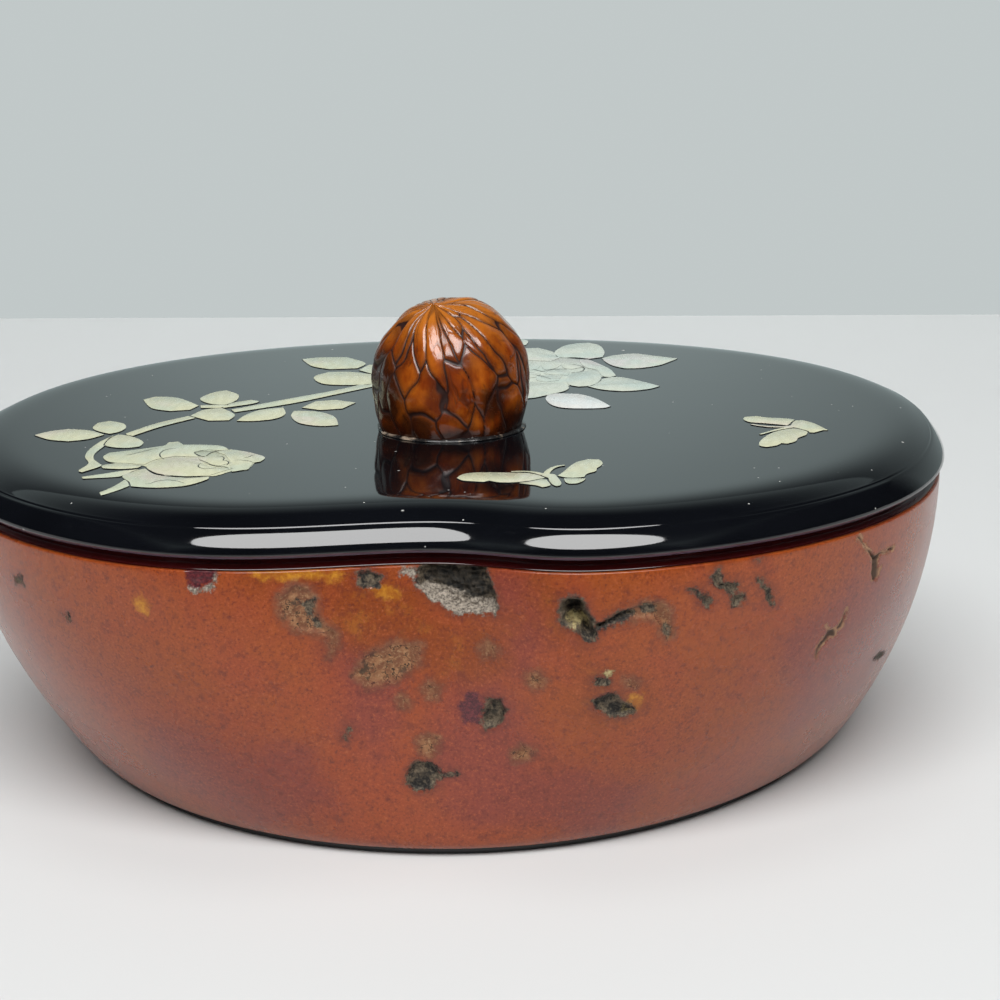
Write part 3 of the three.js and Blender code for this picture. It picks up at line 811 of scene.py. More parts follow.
@dataclass(frozen=True)
class GourdLacquer:
    """Clear red-brown lacquer over a dried gourd's mottled skin, with its scars."""

    red_brown: Colour = (0.27, 0.047, 0.011)
    orange: Colour = (0.28, 0.057, 0.007)
    plum: Colour = (0.205, 0.036, 0.022)
    amber: Colour = (0.215, 0.041, 0.003)
    honey: Colour = (0.36, 0.120, 0.008)
    speckle: Colour = (0.10, 0.016, 0.010)
    pale: Colour = (0.375, 0.092, 0.030)
    halo: Colour = (0.10, 0.022, 0.014)
    gloss: float = 0.28
    coat: float = 0.24

    def ground(self, shader: Shader, groups: Groups, place: object, fields: Fields) -> NodeSocket:
        """The skin's own colour: mottles, amber clouds, plum stains and fine speckles.

        Args:
            shader: The material's tools.
            groups: The shared node groups.
            place: Object coordinates.
            fields: How far inside each kind of mark a point is, in mm.

        Returns:
            The colour.
        """
        broad = shader.noise(place, 14.0, 3.0)
        middle = shader.noise(place, 75.0, 6.0, 0.65)
        fine = shader.noise(place, 1700.0, 4.0, 0.75)
        cloud = shader.plus(shader.times(broad, 0.5), shader.times(middle, 0.7))
        colour = shader.mix(shader.ramp(cloud, 0.48, 0.74), self.red_brown, self.orange)
        stain = shader.ramp(shader.noise(place, 38.0, 5.0, 0.65), 0.52, 0.72)
        colour = shader.lay(colour, self.plum, stain, 0.4)
        wander = shader.times(shader.less(middle, 0.5), 22.0)
        for kind, tint, share in (
            (Blemish.PLUM_CLOUD, self.plum, 0.85),
            (Blemish.AMBER_CLOUD, self.amber, 0.95),
        ):
            soft = shader.ramp(shader.plus(fields[kind], wander), -6.0, 3.0)
            colour = shader.lay(colour, tint, soft, share)
        streak = shader.ramp(shader.noise(place, 210.0, 6.0, 0.7), 0.50, 0.66)
        golden = shader.ramp(shader.plus(fields[Blemish.AMBER_CLOUD], wander), -3.0, 5.0)
        colour = shader.lay(colour, self.honey, shader.times(streak, golden), 0.6)
        spots = {"Vector": place, "Scale": 420.0, "Size": 0.30, "Share": 0.14}
        freckle = shader.group(groups.specks, spots)
        colour = shader.lay(colour, self.speckle, freckle, 0.6)
        leather = shader.noise(place, 480.0, 4.0, 0.65)
        colour = shader.lay(colour, self.speckle, shader.ramp(leather, 0.48, 0.72), 0.5)
        colour = shader.lay(colour, self.pale, shader.ramp(fine, 0.52, 0.70), 0.75)
        return shader.lay(colour, self.speckle, shader.ramp(fine, 0.48, 0.32), 0.75)

    def textures(self, shader: Shader, place: object, fields: Fields) -> Fields:
        """Each kind of mark's own colour.

        Args:
            shader: The material's tools.
            place: Object coordinates.
            fields: How far inside each kind of mark a point is, in mm.

        Returns:
            The colours by kind.
        """
        grit = shader.noise(place, 1900.0, 5.0, 0.75)
        clump = shader.noise(place, 420.0, 4.0, 0.7)
        line = shader.math("ABSOLUTE", shader.less(shader.noise(place, 330.0, 4.0, 0.6), 0.5))
        crack = shader.times(shader.ramp(line, 0.022, 0.004), shader.ramp(clump, 0.42, 0.56))
        burnt = shader.ramp(shader.noise(place, 250.0, 5.0, 0.7), 0.56, 0.64)
        black = shader.mix(shader.ramp(grit, 0.44, 0.72), (0.007, 0.006, 0.005), (0.085, 0.070, 0.052))
        olive = shader.mix(shader.ramp(grit, 0.34, 0.64), (0.035, 0.026, 0.018), (0.165, 0.125, 0.080))
        deep = shader.times(shader.ramp(fields[Blemish.CHARRED], 1.2, 3.4), 0.75)
        pale = shader.mix(shader.ramp(grit, 0.36, 0.62), (0.07, 0.056, 0.044), (0.36, 0.31, 0.25))
        skin = shader.mix(shader.ramp(clump, 0.4, 0.62), (0.15, 0.055, 0.024), (0.27, 0.125, 0.055))
        skin = shader.mix(shader.ramp(grit, 0.48, 0.76), skin, (0.38, 0.23, 0.12))
        skin = shader.lay(skin, (0.040, 0.028, 0.016), burnt, 0.8)
        char = shader.mix(shader.ramp(clump, 0.40, 0.58), black, olive)
        split = shader.ramp(fields[Blemish.SPLIT], 0.0, 0.35)
        patchy = shader.ramp(clump, 0.38, 0.62)
        grainy = shader.ramp(grit, 0.4, 0.66)
        return {
            Blemish.AMBER: shader.mix(patchy, (0.30, 0.090, 0.004), (0.48, 0.20, 0.012)),
            Blemish.MAROON: shader.mix(grainy, (0.05, 0.010, 0.014), (0.15, 0.026, 0.030)),
            Blemish.CRAZED: shader.mix(crack, skin, (0.010, 0.008, 0.005)),
            Blemish.CHARRED: shader.mix(deep, char, (0.004, 0.004, 0.003)),
            Blemish.GRANULAR: pale,
            Blemish.TAN: shader.mix(patchy, (0.16, 0.115, 0.045), (0.46, 0.38, 0.18)),
            Blemish.SPLIT: shader.mix(split, (0.38, 0.21, 0.12), (0.08, 0.046, 0.030)),
        }

    def make(self, groups: Groups) -> Material:
        """Builds the material.

        Args:
            groups: The shared node groups.

        Returns:
            The material.
        """
        material, shader, principled, place = new_material("gourd_lacquer")
        fields = {kind: shader.attribute(kind.value) for kind in Blemish}
        front = shader.ramp(shader.axis(place, 1), 40 * MM, 8 * MM)
        for kind, scale, start, reach in SCATTERED:
            patch = shader.times(shader.less(shader.noise(place, scale, 3.0), start), reach)
            fields[kind] = shader.most(fields[kind], shader.less(patch, shader.times(front, 40.0)))
        colour = self.ground(shader, groups, place, fields)
        rough_edge = shader.noise(place, 650.0, 6.0, 0.8)
        fray = shader.times(shader.less(rough_edge, 0.48), 4.2)
        textures = self.textures(shader, place, fields)
        dark = shader.most(fields[Blemish.CHARRED], fields[Blemish.CRAZED])
        halo = shader.ramp(shader.plus(dark, fray), -2.2, 0.2)
        colour = shader.lay(colour, self.halo, halo, 0.45)
        raw: object = 0.0
        for kind, texture in textures.items():
            edge = SOFT_EDGES.get(kind, PLAIN_EDGE)
            mask = shader.ramp(shader.plus(fields[kind], fray), -edge, edge)
            colour = shader.mix(mask, colour, texture)
            if kind not in UNDER_LACQUER:
                raw = shader.most(raw, mask)
        smear = shader.times(shader.noise(place, 45.0, 5.0), 0.14)
        gloss = shader.plus(smear, self.gloss - 0.07)
        roughness = shader.plus(gloss, shader.times(raw, 0.45))
        coat = shader.less(self.coat, shader.times(raw, self.coat))
        join(shader, principled, Base_Color=colour, Roughness=roughness, Coat_Weight=coat)
        principled.inputs["Coat Roughness"].default_value = 0.2
        principled.inputs["Specular IOR Level"].default_value = 0.4
        grit = shader.times(shader.noise(place, 1100.0, 5.0, 0.7), raw)
        skin = shader.times(shader.noise(place, 120.0, 2.0), 0.25)
        bump(shader, principled, shader.plus(grit, skin), 0.5 * MM, 0.5)
        return material


@dataclass(frozen=True)
class Lacquer:
    """Plain lacquer, polished, with dust and fine scratches."""

    name: str
    colour: Colour
    roughness: float
    dust: float = 0.0
    edge_colour: Colour | None = None
    edge_top: float = 0.0
    ior: float = 1.5

    def make(self, groups: Groups) -> Material:
        """Builds the material.

        Args:
            groups: The shared node groups.

        Returns:
            The material.
        """
        material, shader, principled, place = new_material(self.name)
        cloud = shader.noise(place, 30.0, 4.0)
        deeper = tuple(0.6 * c for c in self.colour)
        colour = shader.mix(shader.ramp(cloud, 0.3, 0.7), self.colour, deeper)
        roughness = shader.plus(shader.times(cloud, 0.05), self.roughness - 0.025)
        lines = {"Vector": place, "Stretch": (1.0, 22.0, 22.0), "Scale": 26.0}
        scratch = shader.group(groups.scratches, lines)
        roughness = shader.plus(roughness, shader.times(scratch, 0.10))
        if self.edge_colour:
            fray = shader.times(shader.less(shader.noise(place, 220.0), 0.5), 0.5 * MM)
            high = shader.plus(shader.axis(place, 2), fray)
            edge = shader.ramp(high, self.edge_top, self.edge_top - 0.15 * MM)
            colour = shader.mix(edge, colour, self.edge_colour)
            roughness = shader.plus(roughness, shader.times(edge, 0.16))
        if self.dust:
            own = {"Vector": place, "Share": self.dust}
            speck = shader.group(groups.specks, own | {"Scale": 95.0, "Size": 0.052})
            fluff = shader.group(groups.specks, own | {"Scale": 260.0, "Size": 0.06})
            dust = shader.ramp(shader.most(speck, fluff), 0.1, 0.5)
            colour = shader.mix(dust, colour, (0.55, 0.55, 0.52))
            roughness = shader.most(roughness, shader.times(dust, 0.8))
        join(shader, principled, Base_Color=colour, Roughness=roughness)
        principled.inputs["IOR"].default_value = self.ior
        ripple = shader.noise(place, 22.0, 2.0)
        bump(shader, principled, ripple, 0.05 * MM, 0.5)
        return material


@dataclass(frozen=True)
class WalnutShell:
    """A walnut's shell under clear gloss: warm brown, with dark grooves and stains, painted light on its
    top, and painted shade beside the grooves and along its foot.
    """

    light: Colour = (0.37, 0.088, 0.005)
    # A lighter orange laid on the nut's top: painted light where the window falls on it.
    painted_top_light: Colour = (0.50, 0.17, 0.020)
    warm: Colour = (0.19, 0.029, 0.002)
    stain: Colour = (0.022, 0.005, 0.002)
    # The grooves' dark colour, partly painted shade in the creases.
    groove: Colour = (0.020, 0.004, 0.002)

    def make(self, groups: Groups) -> Material:
        """Builds the material.

        Args:
            groups: The shared node groups.

        Returns:
            The material.
        """
        material, shader, principled, place = new_material("walnut_gloss")
        cloud = shader.noise(place, 190.0, 5.0, 0.6)
        broad = shader.noise(place, 80.0, 3.0)
        long = shader.noise(shader.stretch(place, (1.0, 1.0, 0.22)), 420.0, 5.0, 0.65)
        tone = shader.plus(shader.times(cloud, 0.6), shader.times(long, 0.4))
        colour = shader.mix(shader.ramp(tone, 0.38, 0.62), self.warm, self.light)
        # Painted light: the nut's top is laid over with a lighter colour where the window light falls.
        top = shader.ramp(shader.axis(place, 2), LID_TOP + 18 * MM, LID_TOP + 29 * MM)
        colour = shader.lay(colour, self.painted_top_light, top, 0.7)
        # Darkens the listed patches low on the front, the band along the foot being painted shade, and adds
        # broad noise stains all over.
        spread = shader.attribute("stain")
        ragged = shader.plus(spread, shader.times(shader.less(cloud, 0.5), 1.1))
        stain = shader.most(shader.ramp(ragged, 0.25, 0.75), shader.ramp(broad, 0.62, 0.80))
        colour = shader.lay(colour, self.stain, stain, 0.9)
        groove = shader.attribute("groove")
        # Painted shade beside each groove, then the grooves' own dark colour, partly painted shade in the
        # creases.
        colour = shader.lay(colour, self.stain, shader.ramp(groove, 0.02, 0.3), 0.5)
        colour = shader.mix(shader.ramp(groove, 0.32, 0.8), colour, self.groove)
        fleck = shader.group(groups.specks, {"Vector": place, "Scale": 900.0, "Size": 0.4, "Share": 0.2})
        colour = shader.lay(colour, self.stain, fleck, 0.35)
        roughness = shader.plus(shader.times(cloud, 0.12), 0.13)
        roughness = shader.plus(roughness, shader.times(groove, 0.35))
        coat = shader.less(0.4, shader.times(groove, 0.4))
        join(shader, principled, Base_Color=colour, Roughness=roughness, Coat_Weight=coat)
        principled.inputs["Coat Roughness"].default_value = 0.08
        bump(shader, principled, shader.noise(place, 520.0, 4.0), 0.12 * MM, 0.35)
        return material


@dataclass(frozen=True)
class Nacre:
    """Polished mother-of-pearl: cream, with a faint green and pink play that follows its growth lines."""

    name: str = "nacre"
    cream: Colour = (0.60, 0.60, 0.41)
    green: Colour = (0.51, 0.56, 0.42)
    pink: Colour = (0.61, 0.56, 0.45)
    shade: Colour = (0.34, 0.35, 0.24)

    def make(self, groups: Groups) -> Material:
        """Builds the material.

        Args:
            groups: The shared node groups; not used.

        Returns:
            The material.
        """
        material, shader, principled, place = new_material(self.name)
        waves = {"Vector": place, "Scale": 120.0, "Distortion": 9.0, "Detail": 3.0, "Detail Scale": 1.4}
        growth = shader.node("TexWave", waves).outputs["Fac"]
        cloud = shader.noise(place, 70.0, 3.0)
        colour = shader.mix(shader.ramp(cloud, 0.42, 0.62), self.cream, self.green)
        colour = shader.mix(shader.ramp(shader.noise(place, 48.0, 3.0), 0.56, 0.72), colour, self.pink)
        colour = shader.lay(colour, self.shade, growth, 0.22)
        grit = shader.noise(place, 1300.0, 4.0, 0.7)
        colour = shader.lay(colour, self.shade, shader.ramp(grit, 0.5, 0.8), 0.14)
        roughness = shader.plus(shader.times(growth, 0.12), 0.2)
        join(shader, principled, Base_Color=colour, Roughness=roughness)
        bump(shader, principled, growth, 0.03 * MM, 0.4)
        return material


@dataclass(frozen=True)
class Putty:
    """Hardened lacquer putty and glue: black and grey, with pale flecks."""

    dark: Colour = (0.012, 0.011, 0.011)
    pale: Colour = (0.30, 0.23, 0.17)

    def make(self, groups: Groups) -> Material:
        """Builds the material.

        Args:
            groups: The shared node groups.

        Returns:
            The material.
        """
        material, shader, principled, place = new_material("lacquer_putty")
        clump = shader.noise(place, 300.0, 4.0, 0.65)
        left = shader.ramp(shader.axis(place, 0), -1 * MM, -5 * MM)
        bare = shader.plus(clump, shader.times(left, 0.12))
        colour = shader.mix(shader.ramp(bare, 0.58, 0.70), self.dark, self.pale)
        fleck = shader.group(groups.specks, {"Vector": place, "Scale": 1300.0, "Size": 0.4, "Share": 0.12})
        colour = shader.mix(fleck, colour, (0.5, 0.5, 0.48))
        roughness = shader.plus(shader.times(clump, 0.4), 0.1)
        join(shader, principled, Base_Color=colour, Roughness=roughness)
        bump(shader, principled, clump, 0.3 * MM, 0.6)
        return material


@dataclass(frozen=True)
class BareWood:
    """Plain pale wood with a fine grain along its length."""

    pale: Colour = (0.42, 0.29, 0.16)
    dark: Colour = (0.27, 0.17, 0.08)

    def make(self, groups: Groups) -> Material:
        """Builds the material.

        Args:
            groups: The shared node groups; not used.

        Returns:
            The material.
        """
        material, shader, principled, place = new_material("peg_wood")
        grain = shader.noise(shader.stretch(place, (1.0, 1.0, 0.06)), 1400.0, 4.0)
        colour = shader.mix(shader.ramp(grain, 0.35, 0.65), self.dark, self.pale)
        join(shader, principled, Base_Color=colour)
        principled.inputs["Roughness"].default_value = 0.65
        bump(shader, principled, grain, 0.1 * MM, 0.4)
        return material


# The box below the lid


@dataclass
class Bowl:
    """The gourd, its rim and its foot."""

    around: int = 96
    wall: float = 6 * MM
    floor: float = 7 * MM
    lip_gap: float = 0.3 * MM
    lip_wall: float = 1.2 * MM
    lip_depth: float = 9 * MM
    far: float = -14.0
    cloud_reach: float = 12.0
    mark_reach: float = 3.5
    deepest: float = 4.2
    ring_margin: float = 1.5

    def build_gourd(self) -> Object:
        """Lofts the gourd's skin, inside and out, and sinks its scars.

        Returns:
            The gourd.
        """
        floor = FOOT_TOP + self.floor
        outside = [(2.5, FOOT_TOP), (2.4, FOOT_TOP - 0.8 * MM), (1.3, FOOT_TOP - 0.8 * MM)]
        outside += [(0.35, FOOT_TOP + 0.2 * MM), (0.05, FOOT_TOP + 1.7 * MM)]
        outside += [(0.0, z * MM) for z in (7, 14, 22, 31, 40, 49, 56)]
        outside += [(0.0, GOURD_TOP - 0.3 * MM), (0.15, GOURD_TOP), (0.9, GOURD_TOP)]
        wall = self.wall / MM
        inside = [(wall - 0.5, GOURD_TOP), (wall, GOURD_TOP), (wall, GOURD_TOP - 0.8 * MM)]
        inside += [(wall, z * MM) for z in (52, 42, 32, 24, 18)]
        inside += [(wall + 2.2, floor + 4 * MM), (wall + 8, floor + MM), (wall + 18, floor)]
        rings = [gourd_level(inset * MM, height) for inset, height in outside + inside]
        gourd = loft("gourd", rings, self.around, Ends.CAPS, 2, lining_from=len(outside) - 0.9)
        self.refine_scars(gourd)
        self.mark_skin(gourd)
        smooth(gourd, 60)
        return gourd

    def refine_scars(self, gourd: Object) -> None:
        """Divides the faces round every mark, so that its edge can be ragged.

        Args:
            gourd: The gourd, lofted.
        """
        rough = [mark for mark in MARKS if mark.depth > 0 or mark.kind is Blemish.TAN]
        marks = [(*mark.middle(), mark.reach() + self.ring_margin) for mark in rough]
        work_on(gourd)
        bpy.ops.object.mode_set(mode="EDIT")
        bpy.ops.mesh.select_all(action="DESELECT")
        mesh = bmesh.from_edit_mesh(gourd.data)
        for face in mesh.faces:
            middle = face.calc_center_median() / MM
            near = any(math.hypot(middle.x - x, middle.z - z) < reach for x, z, reach in marks)
            if near and middle.y < 0 and face.material_index == 0:
                face.select = True
        mesh.select_flush_mode()
        bmesh.update_edit_mesh(gourd.data)
        bpy.ops.mesh.subdivide(number_cuts=3, smoothness=0.0)
        bpy.ops.object.mode_set(mode="OBJECT")

    def mark_skin(self, gourd: Object) -> None:
        """Sinks the scars into the skin, and stores how far inside each kind of mark every point is.

        Args:
            gourd: The gourd, with its faces divided round the marks.
        """
        places = [(mark, *mark.middle(), mark.reach()) for mark in MARKS]
        fields = {kind: [self.far] * len(gourd.data.vertices) for kind in Blemish}
        moves = []
        outer = [face for face in gourd.data.polygons if face.material_index == 0]
        skin = {index for face in outer for index in face.vertices}
        for vertex in gourd.data.vertices:
            if vertex.co.y > 0 or vertex.index not in skin:
                continue
            sway = noise.noise_vector(vertex.co * 190) * 0.5 + noise.noise_vector(vertex.co * 620) * 0.35
            x, z = vertex.co.x / MM + sway.x, vertex.co.z / MM + sway.z
            sink = 0.0
            for mark, middle_x, middle_z, reach in places:
                away = math.hypot(x - middle_x, z - middle_z) - reach
                if away > (self.cloud_reach if mark.kind in CLOUDS else self.mark_reach):
                    continue
                inside = mark.inside(x, z)
                field = fields[mark.kind]
                field[vertex.index] = max(field[vertex.index], inside)
                if mark.depth and inside > 0:
                    wall = min(1.0, inside / (0.5 + 0.35 * mark.depth))
                    grit = 1.0 + 0.35 * noise.noise(vertex.co * 1300)
                    depth = min(self.deepest, mark.depth) * MM
                    sink = max(sink, depth * wall * wall * (3 - 2 * wall) * grit)
            if sink:
                inward = Vector((vertex.normal.x, vertex.normal.y, 0.0)).normalized()
                moves.append((vertex, inward * sink))
        for vertex, move in moves:
            vertex.co -= move
        for kind, values in fields.items():
            attribute = gourd.data.attributes.new(kind.value, "FLOAT", "POINT")
            attribute.data.foreach_set("value", values)

    def build_rim(self) -> Object:
        """Lofts the red rim that binds the mouth, with its lip down the inside.

        Returns:
            The rim.
        """
        outer = self.wall + self.lip_gap
        inner = outer + self.lip_wall
        foot = RIM_TOP - self.lip_depth
        section = (
            (0.75 * MM, GOURD_TOP),
            (0.7 * MM, GOURD_TOP + 0.12 * MM),
            (0.85 * MM, GOURD_TOP + 0.4 * MM),
            (1.35 * MM, GOURD_TOP + 0.7 * MM),
            (1.95 * MM, GOURD_TOP + 1.1 * MM),
            (2.05 * MM, RIM_TOP - 0.3 * MM),
            (2.2 * MM, RIM_TOP),
            (inner - 0.5 * MM, RIM_TOP),
            (inner, RIM_TOP - 0.3 * MM),
            (inner, foot + 0.3 * MM),
            (inner - 0.3 * MM, foot),
            (outer + 0.2 * MM, foot),
            (outer, foot + 0.3 * MM),
            (outer, GOURD_TOP - 0.2 * MM),
            (outer - 0.3 * MM, GOURD_TOP),
        )
        rim = loft("red_rim", [gourd_level(*ring) for ring in section], self.around, Ends.LOOP, 2)
        smooth(rim, 50)
        return rim

    def build_foot(self) -> Object:
        """Lofts the thin foot board with rounded edges.

        Returns:
            The foot.
        """
        top = FOOT_TOP / MM
        section = ((3.6, 0.0), (3.1, 0.0), (2.75, 0.35), (2.65, 0.8), (2.65, 1.9), (2.65, top), (3.3, top))
        rings = [base_level(inset * MM, height * MM) for inset, height in section]
        foot = loft("foot", rings, self.around, Ends.CAPS, 2)
        smooth(foot, 50)
        return foot

    def build(self, finishes: dict[str, Material]) -> None:
        """Builds and dresses the gourd, the rim and the foot.

        Args:
            finishes: Every finish by name.
        """
        skin = (finishes["gourd"], finishes["lining"])
        finish_piece(self.build_gourd(), "bowl", skin, ["gourd_bowl"])
        finish_piece(self.build_rim(), "bowl", [finishes["red"]], ["mouth_rim"])
        finish_piece(self.build_foot(), "bowl", [finishes["foot"]], ["foot_board"])


# The lid

# Shell grounds under the flowers, and lines cut into the shell, in plan, in mm
GROUNDS = {
    "bud": (
        (-59, -35.2), (-66.2, -38.2), (-69.1, -44.1), (-67.2, -48.2), (-62.7, -49), (-60, -52),
        (-55.9, -58.9), (-47.1, -60.1), (-45, -59.1), (-43.1, -56.4), (-41.1, -55.7), (-39.9, -55.3),
        (-39.1, -50.9), (-39.3, -45.3), (-44.6, -39.4), (-47.5, -36.1), (-53.8, -36),
    ),
    "bloom": (
        (9.8, 59), (9.2, 45.9), (9.8, 33.1), (13.3, 26.7), (20.5, 23), (26.4, 21.7), (28.3, 25.6),
        (32.4, 24.9), (34.5, 27.8), (35.5, 33.6), (38.2, 35.5), (36.8, 42.4), (34.1, 51.7), (31.2, 56.6),
        (25.9, 60), (21.2, 61.3), (15, 71.4), (10.5, 71),
    ),
}
INCISIONS = (
    ((-66.6, -40.4), (-65.3, -39.6), (-63.8, -37.7), (-62, -35.5), (-60.7, -34.4)),
    ((-56.6, -34.5), (-58, -35.3), (-59.1, -36.7), (-59.5, -39.6), (-59, -42.3), (-58.1, -44.4)),
    ((-47.3, -37.5), (-49.7, -36.8), (-51.8, -37.9), (-52.3, -39.4), (-50.8, -42.2), (-49.6, -42.9)),
    ((-49.6, -42.3), (-48.9, -39.3), (-47.8, -38.3), (-46.9, -38)),
    ((-47.5, -42.5), (-46.2, -43.1), (-45.6, -44.7), (-45.6, -46.7), (-44.8, -47.2), (-44.2, -48.8),
     (-44.4, -50.7)),
    ((-50.5, -45.8), (-49.2, -47.6), (-47.5, -50.6), (-45.8, -52.1), (-44.5, -52.6), (-43.6, -54.1)),
    ((-49.8, -48.9), (-50.2, -50.8), (-49.7, -52.8), (-48.5, -54), (-47, -53.7), (-46.1, -53.1)),
    ((-43.3, -46.8), (-41.9, -46.7), (-40, -47.9), (-39.1, -49.4)),
    ((-41.6, -45.1), (-40.5, -43.7), (-39.6, -41.8)),
    ((-59.1, -65.8), (-57.9, -65.6), (-56.7, -63.7), (-54.9, -62.9), (-52.9, -64), (-51, -66.2)),
    ((27.9, 50.3), (30.3, 49.1), (32, 45.3), (31.2, 40.9), (28.7, 39.2)),
    ((19.3, 44.9), (21.8, 41.8), (24.9, 44.4), (27.7, 44.1)),
    ((18.2, 37.8), (20.7, 37.1), (23.7, 32.2), (25.8, 32.9)),
)


@dataclass
class Lid:
    """The black board, the flange under it and the shell let into it."""

    around: int = 96
    shell_proud: float = 0.3 * MM
    shell_lift: float = 0.17 * MM
    shell_growth: float = 0.11 * MM
    shell_depth: float = 0.5 * MM
    stem_growth: float = -0.1 * MM
    ground_lift: float = 0.1 * MM
    line_width: float = 0.28 * MM
    line_lift: float = 0.185 * MM
    corner: float = 48.0
    lead_nodes: tuple[str, ...] = ("lid_board", "lid_flange", "walnut_knob", "knob_peg", "knob_bead")

    def build_board(self) -> Object:
        """Lofts the board: bevelled lower edge, bulging side, fine ridge, low shoulder and flat top.

        Returns:
            The board.
        """
        section = (
            (4, 0), (1.3, 0), (0.95, 0.05), (0.15, 0.82), (0.02, 1), (0, 1.35), (0.1, 1.8), (0.4, 2.5),
            (0.9, 3.3), (1.5, 4.15), (2.15, 4.9), (2.5, 5.2), (2.72, 5.3), (2.9, 5.34), (3, 5.44),
            (3.1, 5.62), (3.25, 5.72), (3.5, 5.8), (4.6, 6.32), (6.5, 7.1), (8.4, 7.6), (10.5, 7.95),
            (12.8, 8.14), (15.5, 8.2), (20, 8.2),
        )
        rings = [mouth_level(inset * MM, RIM_TOP + height * MM) for inset, height in section]
        board = loft("lid", rings, self.around, Ends.CAPS, 2)
        smooth(board, 50)
        return board

    def build_flange(self) -> Object:
        """Lofts the ring that sits inside the mouth.

        Returns:
            The flange.
        """
        low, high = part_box("lid_flange")
        outside = high.x
        inset = MOUTH.half_width - outside
        section = (
            (inset + 0.6 * MM, low.z),
            (inset, low.z + 0.7 * MM),
            (inset, high.z - 0.1 * MM),
            (inset, high.z),
            (inset + 3 * MM, high.z),
            (inset + 3 * MM, low.z + 0.4 * MM),
            (inset + 2.6 * MM, low.z),
        )
        flange = loft("flange", [mouth_level(*ring) for ring in section], self.around, Ends.LOOP, 1)
        smooth(flange, 40)
        return flange

    def plate_outline(self, node: str) -> list[Vector]:
        """The outline of a shell plate, from the frame, rounded between its real corners.

        Args:
            node: The plate's node.

        Returns:
            The outline's points in order, anticlockwise.
        """
        mesh = bmesh.new()
        mesh.from_mesh(frame["nodes"][node].data)
        bmesh.ops.remove_doubles(mesh, verts=mesh.verts, dist=2e-6)
        mesh.normal_update()
        top = [face for face in mesh.faces if face.normal.z > 0.7]
        edges = [edge for face in top for edge in face.edges]
        border = [edge for edge in edges if edges.count(edge) == 1]
        loops = []
        while border:
            edge = border.pop()
            start = here = edge.verts[0]
            points = []
            while True:
                points.append(here.co - Vector((0, 0, self.shell_proud)))
                here = edge.other_vert(here)
                if here == start:
                    break
                edge = next(link for link in here.link_edges if link in border)
                border.remove(edge)
            area = sum(a.x * b.y - b.x * a.y for a, b in zip(points, points[1:] + points[:1]))
            loops.append((abs(area), points if area > 0 else points[::-1]))
        mesh.free()
        return self.round_outline(max(loops, key=lambda loop: loop[0])[1])

    def round_outline(self, points: list[Vector]) -> list[Vector]:
        """Draws a smooth curve through an outline's points and leaves its sharp corners sharp.

        Args:
            points: The outline's points in order.

        Returns:
            The finer outline.
        """
        count = len(points)

        def is_corner(i: int) -> bool:
            """Whether the outline turns sharply at a point.

            Args:
                i: The point's number.

            Returns:
                True at a corner.
            """
            before = points[i] - points[i - 1]
            after = points[(i + 1) % count] - points[i]
            return before.angle(after) > math.radians(self.corner)

        fine: list[Vector] = []
        for i in range(count):
            a, b = points[i], points[(i + 1) % count]
            before = a if is_corner(i) else points[i - 1]
            after = b if is_corner((i + 1) % count) else points[(i + 2) % count]
            steps = max(1, min(5, round((b - a).length / (0.35 * MM))))
            for k in range(steps):
                t = k / steps
                start_pull = (b - before) / 2
                end_pull = (after - a) / 2
                blend = 2 * t**3 - 3 * t**2
                point = a * (blend + 1) + b * -blend
                point = point + start_pull * (t**3 - 2 * t**2 + t) + end_pull * (t**3 - t**2)
                fine.append(point)
        return fine

    def grow_outline(self, points: list[Vector], growth: float) -> list[Vector]:
        """Moves an anticlockwise outline outwards by a growth, or inwards where that is negative.

        Args:
            points: The outline's points in order.
            growth: How far out, in metres.

        Returns:
            The new outline.
        """
        grown = []
        for before, point, after in zip(points[-1:] + points[:-1], points, points[1:] + points[:1]):
            along = after - before
            grown.append(point + Vector((along.y, -along.x, 0.0)).normalized() * growth)
        return grown

    def cut_plate(self, name: str, outline: list[Vector], lift: float) -> Object:
        """Cuts one shell plate: its face, its dark edge and a fine round along the top.

        Args:
            name: The plate's name.
            outline: Its outline at the lid's top.
            lift: How far its face stands above the lid.

        Returns:
            The plate.
        """
        deselect()
        bpy.ops.mesh.primitive_circle_add(vertices=len(outline), radius=1.0, fill_type="NGON")
        plate = bpy.context.object
        plate.name = name
        plate.data.name = name
        order = sorted(plate.data.vertices, key=lambda v: math.atan2(v.co.y, v.co.x))
        for vertex, point in zip(order, outline):
            vertex.co = (point.x, point.y, point.z + lift)
        bpy.ops.object.mode_set(mode="EDIT")
        bpy.ops.mesh.select_all(action="SELECT")
        bpy.ops.mesh.normals_make_consistent(inside=False)
        down = -(lift + self.shell_depth)
        bpy.ops.mesh.extrude_region_move(TRANSFORM_OT_translate={"value": (0, 0, down)})
        bpy.ops.mesh.select_all(action="SELECT")
        bpy.ops.mesh.normals_make_consistent(inside=False)
        bpy.ops.object.mode_set(mode="OBJECT")
        for face in plate.data.polygons:
            face.material_index = 0 if abs(face.normal.z) > 0.7 else 1
        sharp = math.radians(60)
        apply_modifier(plate, "BEVEL", width=0.06 * MM, segments=2, limit_method="ANGLE", angle_limit=sharp)
        smooth(plate, 30)
        return plate

    def build_plate(self, node: str) -> Object:
        """Cuts the shell plate that stands for a node: thin stems slimmer, broad plates a little wider.

        Args:
            node: The plate's node.

        Returns:
            The plate.
        """
        growth = self.shell_growth
        if node == "bud_stem" or "body" in node:
            growth = 0.0
        elif "stem" in node or "twig" in node:
            growth = self.stem_growth
        outline = self.grow_outline(self.plate_outline(node), growth)
        return self.cut_plate(f"shell_{node}", outline, self.shell_lift)

